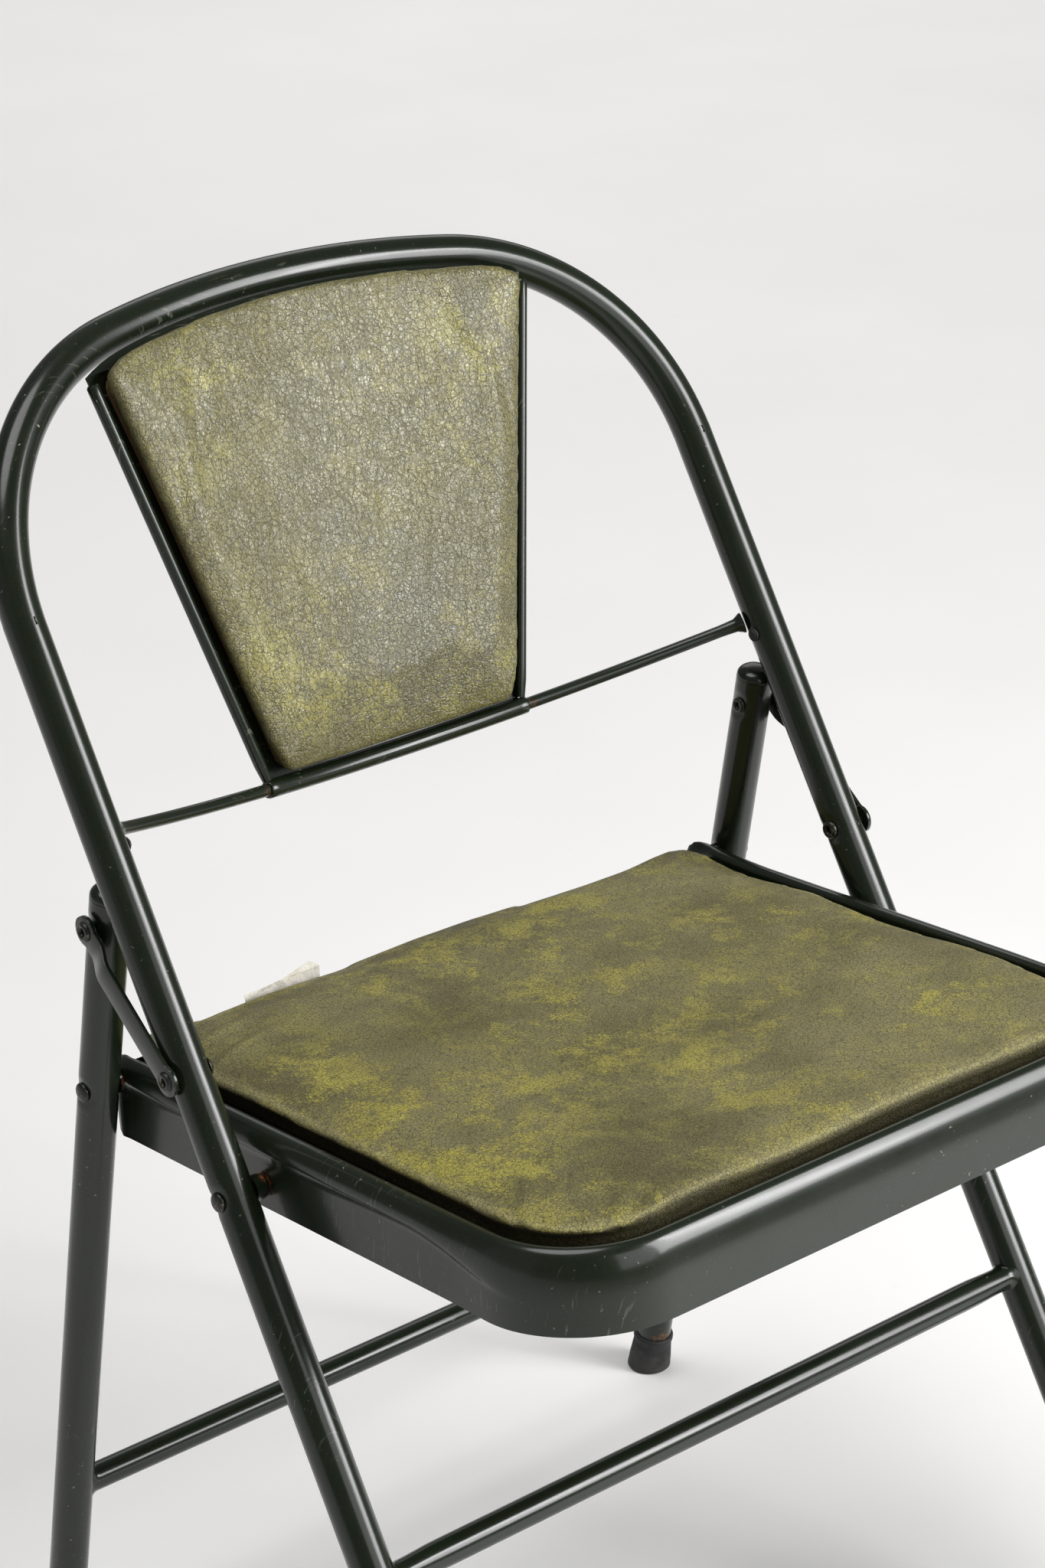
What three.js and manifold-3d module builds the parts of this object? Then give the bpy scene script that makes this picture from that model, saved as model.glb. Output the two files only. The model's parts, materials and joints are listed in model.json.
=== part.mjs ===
// Folding steel chair with a padded seat and a padded fan-shaped back.
//
// Millimetres, +Z up, +X to the sitter's left as seen from the front, the front of the chair at -Y.
// The origin is on the floor at the middle of the chair's footprint box.
//
// Three tilted frames hold the parts:
//   backFrame   local z runs up the leaning tubes, local y points to the rear, origin on the seat pivot
//   seat        local y runs along the seat to the rear, local z is its normal, origin on the seat pivot
//   rearLegs    local z runs up the rear legs, origin on their pivot with the seat
import * as THREE from 'three';
import Module from 'manifold-3d';
import { mergeVertices } from 'three/addons/utils/BufferGeometryUtils.js';

const wasm = await Module();
wasm.setup();

// ---- driving dimensions ---------------------------------------------------------------------------
const GAP = 0.3;                       // clearance between neighbouring pieces
const SIDES = [-1, 1];                 // left and right
const SIDE_NAME = { '-1': 'left', '1': 'right' };

const TUBE_RADIUS = 11.1;              // 7/8 inch steel tube
const TUBE_WALL = 1.2;
const STRETCHER_RADIUS = 7.95;         // 5/8 inch steel tube
const ROD_RADIUS = 3.5;                // back crossbar
const SHEET = 1.2;                     // pressed steel sheet
const RIVET_RADIUS = 3;

const FRAME_LEAN = 33.29 * Math.PI / 180;    // back frame, leaning backwards
const REAR_LEAN = 9.38 * Math.PI / 180;      // rear legs, feet to the rear
const SEAT_TILT = 6.1 * Math.PI / 180;       // seat, rising to the front

const SEAT_PIVOT = { y: -2.787, z: 389.5 };    // hinge line of the seat on the back frame
const PIVOT_HALF = 232.3;              // half distance between the frame tubes at the seat pivot
const LEG_TAPER = 0.00476;             // the two tubes close in by this much per mm of height

const ARCH_TOP = 461.9;                // height of the arch along the frame above the seat pivot
const ARCH_RADIUS = 560;               // nearly flat top of the arch
const CORNER_RADIUS = 145;             // its shoulders
const ARCH_BOW = 16;                   // the arch curves backwards by this much at its middle
const FRONT_LEG_END = -453.6;
const FRONT_STRETCHER = -209.5;

const CROSSBAR_HEIGHT = 197.4;
const CROSSBAR_BOW = 68;
const CROSSBAR_DROOP = 0.036;          // the bow hangs down by this share of its depth

const PAN_HEIGHT = 226.4;              // back pan from the crossbar up to the ends of its rolled edges
const PAN_BOTTOM = { half: 88.6, depth: 62.5, bow: 9.8 };
const PAN_TOP = { half: 146.7, depth: -4, bow: 20 };
const BEAD_RADIUS = 3.5;               // rolled side edges of the back pan
const BEAD_WALL = 1;
const BEAD_FORWARD = 3;
const SLEEVE_HALF = 92;                // rolled lower edge of the back pan, round the crossbar
const SLEEVE_WALL = 1.1;

const LINK_LOWER = 66.8;               // link pivot on the frame tube, above the seat pivot
const LINK_UPPER = { up: 153.8, rear: 32 };  // link pivot on the rear leg, in the back frame
const LINK_THICKNESS = 2.5;
const LINK_SET = 4;                    // its upper end lies this much further in than its lower end
const LINK_HALF_WIDTH = 6.8;
const LINK_EYE_RADIUS = 8;

const SEAT_HALF = 215.5;
const SEAT_FRONT = -244;
const SEAT_REAR = 141;
const SEAT_CORNER = 66;
const SEAT_REAR_CORNER = 15;
const RIM_END = 123.5;                 // behind this the rim only goes round the corners
const SKIRT_BOTTOM = -13.3;
const RIM_RADIUS = 9.5;
const RIM_TOP = 29.5;
const LIP_RADIUS = 4;
const FLOOR = 12;                      // top of the pan's floor, above the seat pivot
const REAR_PIVOT = { back: 126.8, up: 21.1 };   // hinge line of the rear legs, in the seat frame

const REAR_HALF = 227.75;              // half distance between the rear legs at their pivot
const REAR_TAPER = 0.0035;
const REAR_LEG_TOP = 121.5;            // above the pivot, along the leg
const REAR_LEG_FLOOR = -402.5;
const REAR_STRETCHER = -282.4;

const FOOT_TOP_RADIUS = 12.8;
const FOOT_RADIUS = 13.9;
const FOOT_HEIGHT = 22;                // rubber above the end of the tube
const FOOT_BELOW = 6;                  // rubber under the end of a rear leg
const FRONT_FOOT_BELOW = 26;           // under the end of a front leg, before the floor cuts it

const PAD_OUTLINE = { bottom: 201.5, bottomHalf: 82, slope: 0.262, topCorner: 427, topGap: 13.5, corner: 8 };
const CURVED_GAP = 0.8;                // clearance between layers that follow the curved pan
const BOARD_THICKNESS = 3;             // fibreboard under the pads
const BACK_BOARD_BACK = SHEET / 2 + CURVED_GAP;
const BACK_PAD_BACK = BACK_BOARD_BACK + BOARD_THICKNESS + CURVED_GAP;
const BACK_PAD_THICKNESS = 13.2;
const SEAT_BOARD_THICKNESS = 3.9;
const SEAT_PAD_THICKNESS = 20.8;

const SCREW_RADIUS = 1.8;
const SCREW_LENGTH = 4;
const SCREW_HEAD = { radius: 4, height: 2.2 };
const SCREW_HOLE_DEPTH = 7.6;
const BACK_SCREWS = [[-52, 240], [52, 240], [-82, 385], [82, 385]];
const SEAT_SCREWS = [[-130, 90], [130, 90], [-130, -160], [130, -160]];

const RIVET_HEAD = 5.4;                // head radius
const RIVET_HEAD_HEIGHT = 2.5;
const REAR_RIVET_HEAD = 3.5;           // smaller, it sits inside the seat pan's corner
const REAR_RIVET_INSET = 2.8;          // its inner head stands off the pan's wall
const SPACER_RADIUS = 7;
const STOP_HEIGHT = 188;               // button on the frame tube beside the folded seat
const STOP_RADIUS = 4;

// ---- materials ------------------------------------------------------------------------------------
const enamel = new THREE.MeshStandardMaterial({ color: 0x262f2a, roughness: 0.35, metalness: 0.4 });
const vinyl = new THREE.MeshStandardMaterial({ color: 0x6b6636, roughness: 0.5, metalness: 0 });
const rubber = new THREE.MeshStandardMaterial({ color: 0x1b1b1c, roughness: 0.8, metalness: 0 });
const steel = new THREE.MeshStandardMaterial({ color: 0x3a362f, roughness: 0.45, metalness: 0.8 });
const fibreboard = new THREE.MeshStandardMaterial({ color: 0x5a4632, roughness: 0.9, metalness: 0 });
const paper = new THREE.MeshStandardMaterial({ color: 0xd9d6cc, roughness: 0.9, metalness: 0 });

// ---- building blocks ------------------------------------------------------------------------------
const vec = (x, y, z) => new THREE.Vector3(x, y, z);
const lerp = THREE.MathUtils.lerp;
const smooth = (value, low, high) => THREE.MathUtils.smoothstep(value, low, high);

/** A closed three.js geometry as a manifold solid. */
function solidOf(geometry) {
  const bare = geometry.clone();
  bare.deleteAttribute('normal');
  bare.deleteAttribute('uv');
  const merged = mergeVertices(bare, 1e-4);
  const corners = [];
  for (let i = 0; i < merged.index.count; i += 3) {
    const [a, b, c] = [0, 1, 2].map((k) => merged.index.getX(i + k));
    if (a !== b && b !== c && c !== a) corners.push(a, b, c);
  }
  const vertProperties = Float32Array.from(merged.attributes.position.array);
  const triVerts = Uint32Array.from(corners);
  return new wasm.Manifold(new wasm.Mesh({ numProp: 3, vertProperties, triVerts }));
}

/** A manifold solid as a three.js geometry. */
function geometryOf(solid) {
  const mesh = solid.getMesh();
  const geometry = new THREE.BufferGeometry();
  geometry.setAttribute('position', new THREE.BufferAttribute(Float32Array.from(mesh.vertProperties), 3));
  geometry.setIndex(Array.from(mesh.triVerts));
  return geometry;
}

/** The first geometry, joined with `add` and cut by `cut`. */
function carve(geometry, { add = [], cut = [] }) {
  let solid = solidOf(geometry);
  for (const piece of add) solid = solid.add(solidOf(piece));
  for (const piece of cut) solid = solid.subtract(solidOf(piece));
  return geometryOf(solid);
}

function named(name, geometry, material) {
  const mesh = new THREE.Mesh(geometry, material);
  mesh.name = name;
  return mesh;
}

function circle(radius, sides) {
  return Array.from({ length: sides }, (_, i) => {
    const angle = 2 * Math.PI * (i + 0.5) / sides;
    return new THREE.Vector2(radius * Math.cos(angle), radius * Math.sin(angle));
  });
}

/** A section for a tube, or for a rod when `inner` is 0. */
function ring(outer, inner, sides) {
  const shape = new THREE.Shape(circle(outer, sides));
  if (inner > 0) shape.holes.push(new THREE.Path(circle(inner, sides)));
  return shape;
}

/** A path that is extruded station by station, so long straights need few steps. */
class StationPath extends THREE.Curve {
  constructor(stations) {
    super();
    this.stations = stations;
  }

  getPoint(t, target = new THREE.Vector3()) {
    const place = THREE.MathUtils.clamp(t, 0, 1) * (this.stations.length - 1);
    const index = Math.min(Math.floor(place), this.stations.length - 2);
    return target.lerpVectors(this.stations[index], this.stations[index + 1], place - index);
  }

  getPointAt(u, target) {
    return this.getPoint(u, target);
  }

  getTangentAt(u, target) {
    return this.getTangent(u, target);
  }
}

/** A tube or rod through the stations. */
function tubeAlong(stations, outer, inner, sides = 12) {
  const extrudePath = new StationPath(stations);
  return new THREE.ExtrudeGeometry(ring(outer, inner, sides), { steps: stations.length - 1, extrudePath });
}

/** A round bar along X between two places. */
function barX(radius, from, to, y, z, sides = 16) {
  const bar = new THREE.CylinderGeometry(radius, radius, Math.abs(to - from), sides);
  return bar.rotateZ(Math.PI / 2).translate((from + to) / 2, y, z);
}

/** A turned piece about X. The profile lists [distance outwards along X, radius] from the inner end. */
function turnedX(profile, side, segments = 16) {
  const points = profile.map(([along, radius]) => new THREE.Vector2(radius, along));
  return new THREE.LatheGeometry(points, segments).rotateZ(-side * Math.PI / 2);
}

/** A closed skin over a stack of loops with equal point counts; both end loops are closed by a fan. */
function skin(loops) {
  const count = loops[0].length;
  const points = loops.flat();
  const faces = [];
  const vertex = (row, i) => row * count + i % count;
  for (let row = 0; row + 1 < loops.length; row += 1) {
    for (let i = 0; i < count; i += 1) {
      faces.push(vertex(row, i), vertex(row, i + 1), vertex(row + 1, i + 1));
      faces.push(vertex(row, i), vertex(row + 1, i + 1), vertex(row + 1, i));
    }
  }
  const fan = (row, flip) => {
    const middle = points.length;
    const centre = loops[row].reduce((sum, point) => sum.add(point), vec(0, 0, 0)).divideScalar(count);
    points.push(centre);
    for (let i = 0; i < count; i += 1) {
      const edge = [vertex(row, i), vertex(row, i + 1)];
      if (flip) edge.reverse();
      faces.push(middle, edge[1], edge[0]);
    }
  };
  fan(0, false);
  fan(loops.length - 1, true);
  const geometry = new THREE.BufferGeometry().setFromPoints(points);
  geometry.setIndex(faces);
  return geometry;
}

/** A closed slab between two surfaces given over u and v from 0 to 1. */
function slab(front, back, columns, rows) {
  const points = [];
  const faces = [];
  for (const surface of [front, back]) {
    for (let j = 0; j <= rows; j += 1) {
      for (let i = 0; i <= columns; i += 1) points.push(surface(i / columns, j / rows));
    }
  }
  const half = (columns + 1) * (rows + 1);
  const at = (face, i, j) => face * half + j * (columns + 1) + i;
  const quad = (a, b, c, d) => faces.push(a, b, c, a, c, d);
  for (let j = 0; j < rows; j += 1) {
    for (let i = 0; i < columns; i += 1) {
      quad(at(0, i, j), at(0, i + 1, j), at(0, i + 1, j + 1), at(0, i, j + 1));
      quad(at(1, i, j), at(1, i, j + 1), at(1, i + 1, j + 1), at(1, i + 1, j));
    }
    quad(at(0, 0, j), at(0, 0, j + 1), at(1, 0, j + 1), at(1, 0, j));
    quad(at(0, columns, j), at(1, columns, j), at(1, columns, j + 1), at(0, columns, j + 1));
  }
  for (let i = 0; i < columns; i += 1) {
    quad(at(0, i, 0), at(1, i, 0), at(1, i + 1, 0), at(0, i + 1, 0));
    quad(at(0, i, rows), at(0, i + 1, rows), at(1, i + 1, rows), at(1, i, rows));
  }
  const geometry = new THREE.BufferGeometry().setFromPoints(points);
  geometry.setIndex(faces);
  return geometry;
}

/** A polygon outline, anticlockwise, with each corner [x, y, radius] rounded by an arc. */
function roundedOutline(corners, arcSteps = 6) {
  const points = [];
  corners.forEach(([x, y, radius], i) => {
    const here = new THREE.Vector2(x, y);
    const toward = ([px, py]) => new THREE.Vector2(px, py).sub(here).normalize();
    const before = toward(corners.at(i - 1));
    const after = toward(corners[(i + 1) % corners.length]);
    const half = Math.acos(THREE.MathUtils.clamp(before.dot(after), -1, 1)) / 2;
    const reach = radius / Math.tan(half);
    const start = here.clone().addScaledVector(before, reach);
    const end = here.clone().addScaledVector(after, reach);
    const centre = before.clone().add(after).normalize().multiplyScalar(radius / Math.sin(half)).add(here);
    for (let k = 0; k <= arcSteps; k += 1) {
      const chord = start.clone().lerp(end, k / arcSteps).sub(centre).setLength(radius);
      points.push(chord.add(centre));
    }
  });
  return points;
}

// ---- back frame -----------------------------------------------------------------------------------
const legHalf = (up) => PIVOT_HALF - LEG_TAPER * up;
const archHalf = legHalf(ARCH_TOP - CORNER_RADIUS);
const shoulderX = archHalf - CORNER_RADIUS;
const crownAngle = Math.asin(shoulderX / (ARCH_RADIUS - CORNER_RADIUS));
const shoulderUp = ARCH_TOP - ARCH_RADIUS + (ARCH_RADIUS - CORNER_RADIUS) * Math.cos(crownAngle);

/** How far the arch is bent backwards at a distance x from the middle. */
const archBow = (x) => ARCH_BOW * Math.max(0, 1 - (x / archHalf) ** 2) ** 1.6;

/** Height of the arch's centre line at a distance x from the middle. */
function archUp(x) {
  const across = Math.abs(x);
  if (across < ARCH_RADIUS * Math.sin(crownAngle)) {
    return ARCH_TOP - ARCH_RADIUS + Math.sqrt(ARCH_RADIUS ** 2 - across ** 2);
  }
  return shoulderUp + Math.sqrt(Math.max(0, CORNER_RADIUS ** 2 - (across - shoulderX) ** 2));
}

/** The whole frame tube's centre line, from the right foot over the arch to the left foot. */
function frameStations() {
  const right = [FRONT_LEG_END, -160, 120].map((up) => vec(legHalf(up), 0, up));
  const shoulderSteps = 11;
  for (let i = 0; i <= shoulderSteps; i += 1) {
    const angle = lerp(0, Math.PI / 2 - crownAngle, i / shoulderSteps);
    const x = shoulderX + CORNER_RADIUS * Math.cos(angle);
    right.push(vec(x, archBow(x), shoulderUp + CORNER_RADIUS * Math.sin(angle)));
  }
  const crownSteps = 5;
  for (let i = 1; i < crownSteps; i += 1) {
    const x = ARCH_RADIUS * Math.sin(lerp(crownAngle, 0, i / crownSteps));
    right.push(vec(x, archBow(x), archUp(x)));
  }
  const left = right.map((point) => vec(-point.x, point.y, point.z)).reverse();
  return [...right, vec(0, ARCH_BOW, ARCH_TOP), ...left];
}

/** Solid bars in the place of both tubes of a pair, to cope another piece between them. */
function tubeBlanks(halfAt, from, to) {
  return SIDES.map((side) => {
    const stations = [from, to].map((up) => vec(side * halfAt(up), 0, up));
    return tubeAlong(stations, TUBE_RADIUS + GAP, 0, 24);
  });
}

/** Holes across one tube of a pair for rivets at these heights. */
function rivetHoles(side, halfAt, heights) {
  return heights.map((up) => {
    const axis = side * halfAt(up);
    return barX(RIVET_RADIUS + GAP, axis - TUBE_RADIUS - 5, axis + TUBE_RADIUS + 5, 0, up, 12);
  });
}

/** A stretcher tube between a pair of legs, coped to them. */
function stretcher(halfAt, up) {
  const stations = [-1, 1].map((side) => vec(side * halfAt(up), 0, up));
  const tube = tubeAlong(stations, STRETCHER_RADIUS, STRETCHER_RADIUS - TUBE_WALL, 12);
  return carve(tube, { cut: tubeBlanks(halfAt, up - 40, up + 40) });
}

function backFrameTube() {
  const tube = tubeAlong(frameStations(), TUBE_RADIUS, TUBE_RADIUS - TUBE_WALL, 12);
  return carve(tube, { cut: SIDES.flatMap((side) => rivetHoles(side, legHalf, [0, LINK_LOWER])) });
}

const crossbarRadius = (legHalf(CROSSBAR_HEIGHT) ** 2 + CROSSBAR_BOW ** 2) / (2 * CROSSBAR_BOW);

/** A point of the crossbar's centre line, a plain arc bowed to the rear. */
function crossbarPoint(x) {
  const depth = CROSSBAR_BOW - crossbarRadius + Math.sqrt(crossbarRadius ** 2 - x ** 2);
  return vec(x, depth, CROSSBAR_HEIGHT - CROSSBAR_DROOP * depth);
}

function crossbarStations(half, steps) {
  return Array.from({ length: steps + 1 }, (_, i) => crossbarPoint(lerp(-half, half, i / steps)));
}

function backCrossbar() {
  const rod = tubeAlong(crossbarStations(legHalf(CROSSBAR_HEIGHT), 20), ROD_RADIUS, 0, 8);
  return carve(rod, { cut: tubeBlanks(legHalf, CROSSBAR_HEIGHT - 40, CROSSBAR_HEIGHT + 40) });
}

// ---- back pan, board and pad ----------------------------------------------------------------------
const panBottomUp = crossbarPoint(SLEEVE_HALF).z;
const panShare = (up) => (up - panBottomUp) / PAN_HEIGHT;
const panHalf = (up) => lerp(PAN_BOTTOM.half, PAN_TOP.half, panShare(up));
const panEdgeDepth = (up) => lerp(PAN_BOTTOM.depth, PAN_TOP.depth, panShare(up));
const panTopUp = (x) => archUp(x) - 10 - 3 * (x / PAN_TOP.half) ** 2;

/** A point of the back pan's middle surface, moved `forward` towards the sitter. */
function panPoint(x, up, forward) {
  const bow = lerp(PAN_BOTTOM.bow, PAN_TOP.bow, panShare(up));
  return vec(x, panEdgeDepth(up) + bow * (1 - (x / panHalf(up)) ** 2) - forward, up);
}

function backPan() {
  const surface = (forward) => (u, v) => {
    const across = 2 * u - 1;
    const up = lerp(panBottomUp, panTopUp(across * PAN_TOP.half), v);
    return panPoint(across * panHalf(up), up, forward);
  };
  const plate = slab(surface(SHEET / 2), surface(-SHEET / 2), 14, 6);
  const beads = SIDES.map((side) => {
    const ends = [panBottomUp + 5, panBottomUp + PAN_HEIGHT];
    const stations = ends.map((up) => vec(side * panHalf(up), panEdgeDepth(up) - BEAD_FORWARD, up));
    return tubeAlong(stations, BEAD_RADIUS, BEAD_RADIUS - BEAD_WALL, 8);
  });
  const boreRadius = (ROD_RADIUS + GAP) / Math.cos(Math.PI / 8);
  const sleeve = tubeAlong(crossbarStations(SLEEVE_HALF, 8), boreRadius + SLEEVE_WALL, boreRadius, 8);
  const bore = tubeAlong(crossbarStations(SLEEVE_HALF * 1.25, 10), boreRadius, 0, 8);
  return carve(plate, { add: [...beads, sleeve], cut: [bore, ...backScrewHoles()] });
}

/** Outline of the back pad seen square to the frame: a fan with its top parallel to the arch. */
function backPadOutline() {
  const { bottom, bottomHalf, slope, topCorner, topGap, corner } = PAD_OUTLINE;
  const padHalf = (up) => bottomHalf + slope * (up - bottom);
  const lean = Math.atan(slope);
  const points = [];
  const arc = (x, up, radius, from, to, steps) => {
    for (let i = 0; i <= steps; i += 1) {
      const angle = lerp(from, to, i / steps);
      points.push(new THREE.Vector2(x + radius * Math.cos(angle), up + radius * Math.sin(angle)));
    }
  };
  const sides = [300, 370].map((up) => new THREE.Vector2(padHalf(up), up));
  arc(padHalf(bottom) - corner, bottom + corner, corner, -Math.PI / 2, -lean, 4);
  points.push(...sides);
  const cornerX = padHalf(topCorner) - corner - 1;
  arc(cornerX, topCorner - corner + 1, corner, -lean, Math.PI / 3, 3);
  const topSteps = 10;
  for (let i = 1; i < topSteps; i += 1) {
    const x = lerp(cornerX, -cornerX, i / topSteps);
    points.push(new THREE.Vector2(x, archUp(x) - topGap - 0.012 * Math.abs(x)));
  }
  arc(-cornerX, topCorner - corner + 1, corner, Math.PI * 2 / 3, Math.PI + lean, 3);
  points.push(...sides.toReversed().map((point) => new THREE.Vector2(-point.x, point.y)));
  arc(corner - padHalf(bottom), bottom + corner, corner, Math.PI + lean, Math.PI * 3 / 2, 4);
  points.push(new THREE.Vector2(0, bottom));
  return points;
}

/**
 * Loops of one outline shrunk about its middle, each placed at its own height by `place`.
 * Levels are [shrink, height]: a shrink below 1 scales the outline, one of 1 + d pulls it in by d mm.
 */
function layered(outline, levels, place) {
  const sum = outline.reduce((total, point) => total.add(point), new THREE.Vector2());
  const centre = sum.divideScalar(outline.length);
  return levels.map(([shrink, height]) => outline.map((point) => {
    const away = point.clone().sub(centre);
    const scale = shrink < 1 ? shrink : 1 - (shrink - 1) / away.length();
    const moved = away.multiplyScalar(scale).add(centre);
    return place(moved.x, moved.y, height);
  }));
}

function backBoard() {
  const back = BACK_BOARD_BACK;
  const front = back + BOARD_THICKNESS;
  const shrinks = [0.3, 0.6, 0.85, 5];
  const levels = [
    ...shrinks.map((shrink) => [shrink, back]),
    ...shrinks.toReversed().map((shrink) => [shrink, front]),
  ];
  const board = skin(layered(backPadOutline(), levels, panPoint));
  return carve(board, { cut: backScrewHoles() });
}

function backPad() {
  const back = BACK_PAD_BACK;
  const front = back + BACK_PAD_THICKNESS;
  const levels = [
    [0.3, back], [0.6, back], [0.85, back], [5, back], [1.5, back + 2], [1, back + 4.5],
    [2.2, front - 5.7], [6, front - 3.7], [0.85, front - 2], [0.6, front - 0.6], [0.3, front],
  ];
  return skin(layered(backPadOutline(), levels, panPoint));
}

// ---- screws ---------------------------------------------------------------------------------------
/** A piece turned about Z. The profile lists [radius, height]. */
function turnedZ(profile, segments) {
  const points = profile.map(([radius, height]) => new THREE.Vector2(radius, height));
  return new THREE.LatheGeometry(points, segments).rotateX(Math.PI / 2);
}

/** A round-head screw: its head below z = 0, its shank rising from it. */
function screw() {
  const { radius, height } = SCREW_HEAD;
  const head = [[0, -height], [radius * 0.6, -height * 0.85], [radius, 0]];
  return turnedZ([...head, [SCREW_RADIUS, 0], [SCREW_RADIUS, SCREW_LENGTH], [0, SCREW_LENGTH]], 10);
}

/** A bar that drills a screw's hole through the sheet at z = 0 and the board above it. */
function screwDrill() {
  const radius = SCREW_RADIUS + GAP;
  const bar = new THREE.CylinderGeometry(radius, radius, SCREW_HOLE_DEPTH, 10);
  return bar.rotateX(Math.PI / 2).translate(0, 0, SCREW_HOLE_DEPTH / 2 - SCREW_HEAD.height);
}

/** Turns a piece that points along +Z so that it points forwards out of the back pan at x, up. */
function standOnPan(geometry, x, up, back) {
  const acrossStep = panPoint(x + 1, up, 0).sub(panPoint(x - 1, up, 0));
  const upStep = panPoint(x, up + 1, 0).sub(panPoint(x, up - 1, 0));
  const normal = acrossStep.cross(upStep).normalize();
  geometry.applyQuaternion(new THREE.Quaternion().setFromUnitVectors(vec(0, 0, 1), normal));
  const place = panPoint(x, up, 0).addScaledVector(normal, -back);
  return geometry.translate(place.x, place.y, place.z);
}

function backScrewHoles() {
  return BACK_SCREWS.map(([x, up]) => standOnPan(screwDrill(), x, up, 0));
}

function seatScrewHoles() {
  return SEAT_SCREWS.map(([x, back]) => screwDrill().translate(x, back, FLOOR - SHEET));
}

// ---- links ----------------------------------------------------------------------------------------
const linkLength = Math.hypot(LINK_UPPER.up - LINK_LOWER, LINK_UPPER.rear);
const linkTurn = -Math.atan2(LINK_UPPER.rear, LINK_UPPER.up - LINK_LOWER);
const lowerFace = legHalf(LINK_LOWER) + TUBE_RADIUS + 1.2;     // link's inner face at its lower eye
const middleFace = lowerFace - LINK_SET / 4;
const upperFace = lowerFace - LINK_SET;

/** A flat bar with round eyes, set over towards the rear leg at its upper end. Local z runs along it. */
function link(side) {
  const end = LINK_EYE_RADIUS + 2;
  const inner = [[-end, lowerFace], [end, lowerFace], [2 * end, middleFace], [linkLength / 2, middleFace],
    [linkLength - 2 * end, upperFace], [linkLength + end, upperFace]];
  const outline = [
    ...inner.map(([z, x]) => new THREE.Vector2(side * x, z)),
    ...inner.toReversed().map(([z, x]) => new THREE.Vector2(side * (x + LINK_THICKNESS), z)),
  ];
  const plate = { depth: 2 * end, bevelEnabled: false };
  const strip = new THREE.ExtrudeGeometry(new THREE.Shape(outline), plate).rotateX(Math.PI / 2);
  strip.translate(0, end, 0);
  const [near, far] = [side * (upperFace - 10), side * (lowerFace + 10)];
  const across = Math.abs(far - near);
  const bar = new THREE.BoxGeometry(across, 2 * LINK_HALF_WIDTH, linkLength);
  bar.translate((near + far) / 2, 0, linkLength / 2);
  const pivots = [0, linkLength];
  const plan = carve(bar, { add: pivots.map((z) => barX(LINK_EYE_RADIUS, near, far, 0, z, 20)) });
  const body = solidOf(strip).intersect(solidOf(plan));
  return carve(geometryOf(body), { cut: pivots.map((z) => barX(RIVET_RADIUS + GAP, near, far, 0, z, 12)) });
}

/** One domed rivet head from its seat to its tip, as profile points. */
function rivetHead(seat, tip, radius) {
  const shoulder = [lerp(seat, tip, 0.5), radius * 0.92];
  const crown = [lerp(seat, tip, 0.9), radius * 0.55];
  return [[seat, radius], shoulder, crown, [tip, 0]];
}

/** A rivet that holds what lies between two places along X. */
function rivet(side, from, to, radius = RIVET_HEAD) {
  const inner = rivetHead(from, from - RIVET_HEAD_HEIGHT, radius).reverse();
  const outer = rivetHead(to, to + RIVET_HEAD_HEIGHT, radius);
  return turnedX([...inner, [from, RIVET_RADIUS], [to, RIVET_RADIUS], ...outer], side);
}

/** Rivet of the link's upper eye; it stops short of the rear leg. */
function linkUpperRivet(side) {
  const inner = upperFace - GAP;
  const outer = upperFace + LINK_THICKNESS + GAP;
  const head = rivetHead(outer, outer + RIVET_HEAD_HEIGHT, RIVET_HEAD);
  return turnedX([[inner, 0], [inner, RIVET_RADIUS], [outer, RIVET_RADIUS], ...head], side);
}

/** A stud riveted in the rear leg, flush on the outside, in line with the link's upper eye. */
function linkStud(side, tube) {
  const seat = tube - TUBE_RADIUS - GAP;
  const head = rivetHead(seat, seat - RIVET_HEAD_HEIGHT, RIVET_HEAD).reverse();
  const end = tube + TUBE_RADIUS;
  return turnedX([...head, [seat, RIVET_RADIUS], [end, RIVET_RADIUS], [end, 0]], side);
}

/** A spacer ring on a hinge rivet. */
function spacer(side, from, to) {
  const bore = RIVET_RADIUS + GAP;
  const outside = [[from, SPACER_RADIUS], [to, SPACER_RADIUS]];
  return turnedX([[from, bore], ...outside, [to, bore], [from, bore]], side);
}

/** A rubber button with a rounded face, fixed to the inside of a frame tube. */
function stopButton(side) {
  const seat = legHalf(STOP_HEIGHT) - TUBE_RADIUS - GAP;
  const face = seat - 2.4;
  const rounding = [[face + 0.6, 0.65 * STOP_RADIUS], [seat - 0.6, STOP_RADIUS]];
  return turnedX([[face, 0], ...rounding, [seat, STOP_RADIUS], [seat, 0]], side);
}

// ---- feet and caps --------------------------------------------------------------------------------
/** A rubber tip on the tube that ends at local z = `end`; `below` mm of it lies under the tube. */
function footBlank(end, below) {
  const bore = TUBE_RADIUS + GAP;
  const top = end + FOOT_HEIGHT;
  const bottom = end - below;
  return turnedZ([[0, bottom], [FOOT_RADIUS - 2, bottom], [FOOT_RADIUS, bottom + 3], [FOOT_TOP_RADIUS, top],
    [bore, top], [bore, end - GAP], [0, end - GAP]], 20);
}

/** A block under the floor, in a frame that leans by `lean` and whose origin is `height` up. */
function underFloor(lean, height) {
  const depth = 60;
  return new THREE.BoxGeometry(80, 2 * height, depth).translate(0, 0, -depth / 2 - height).rotateX(lean);
}

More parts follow.
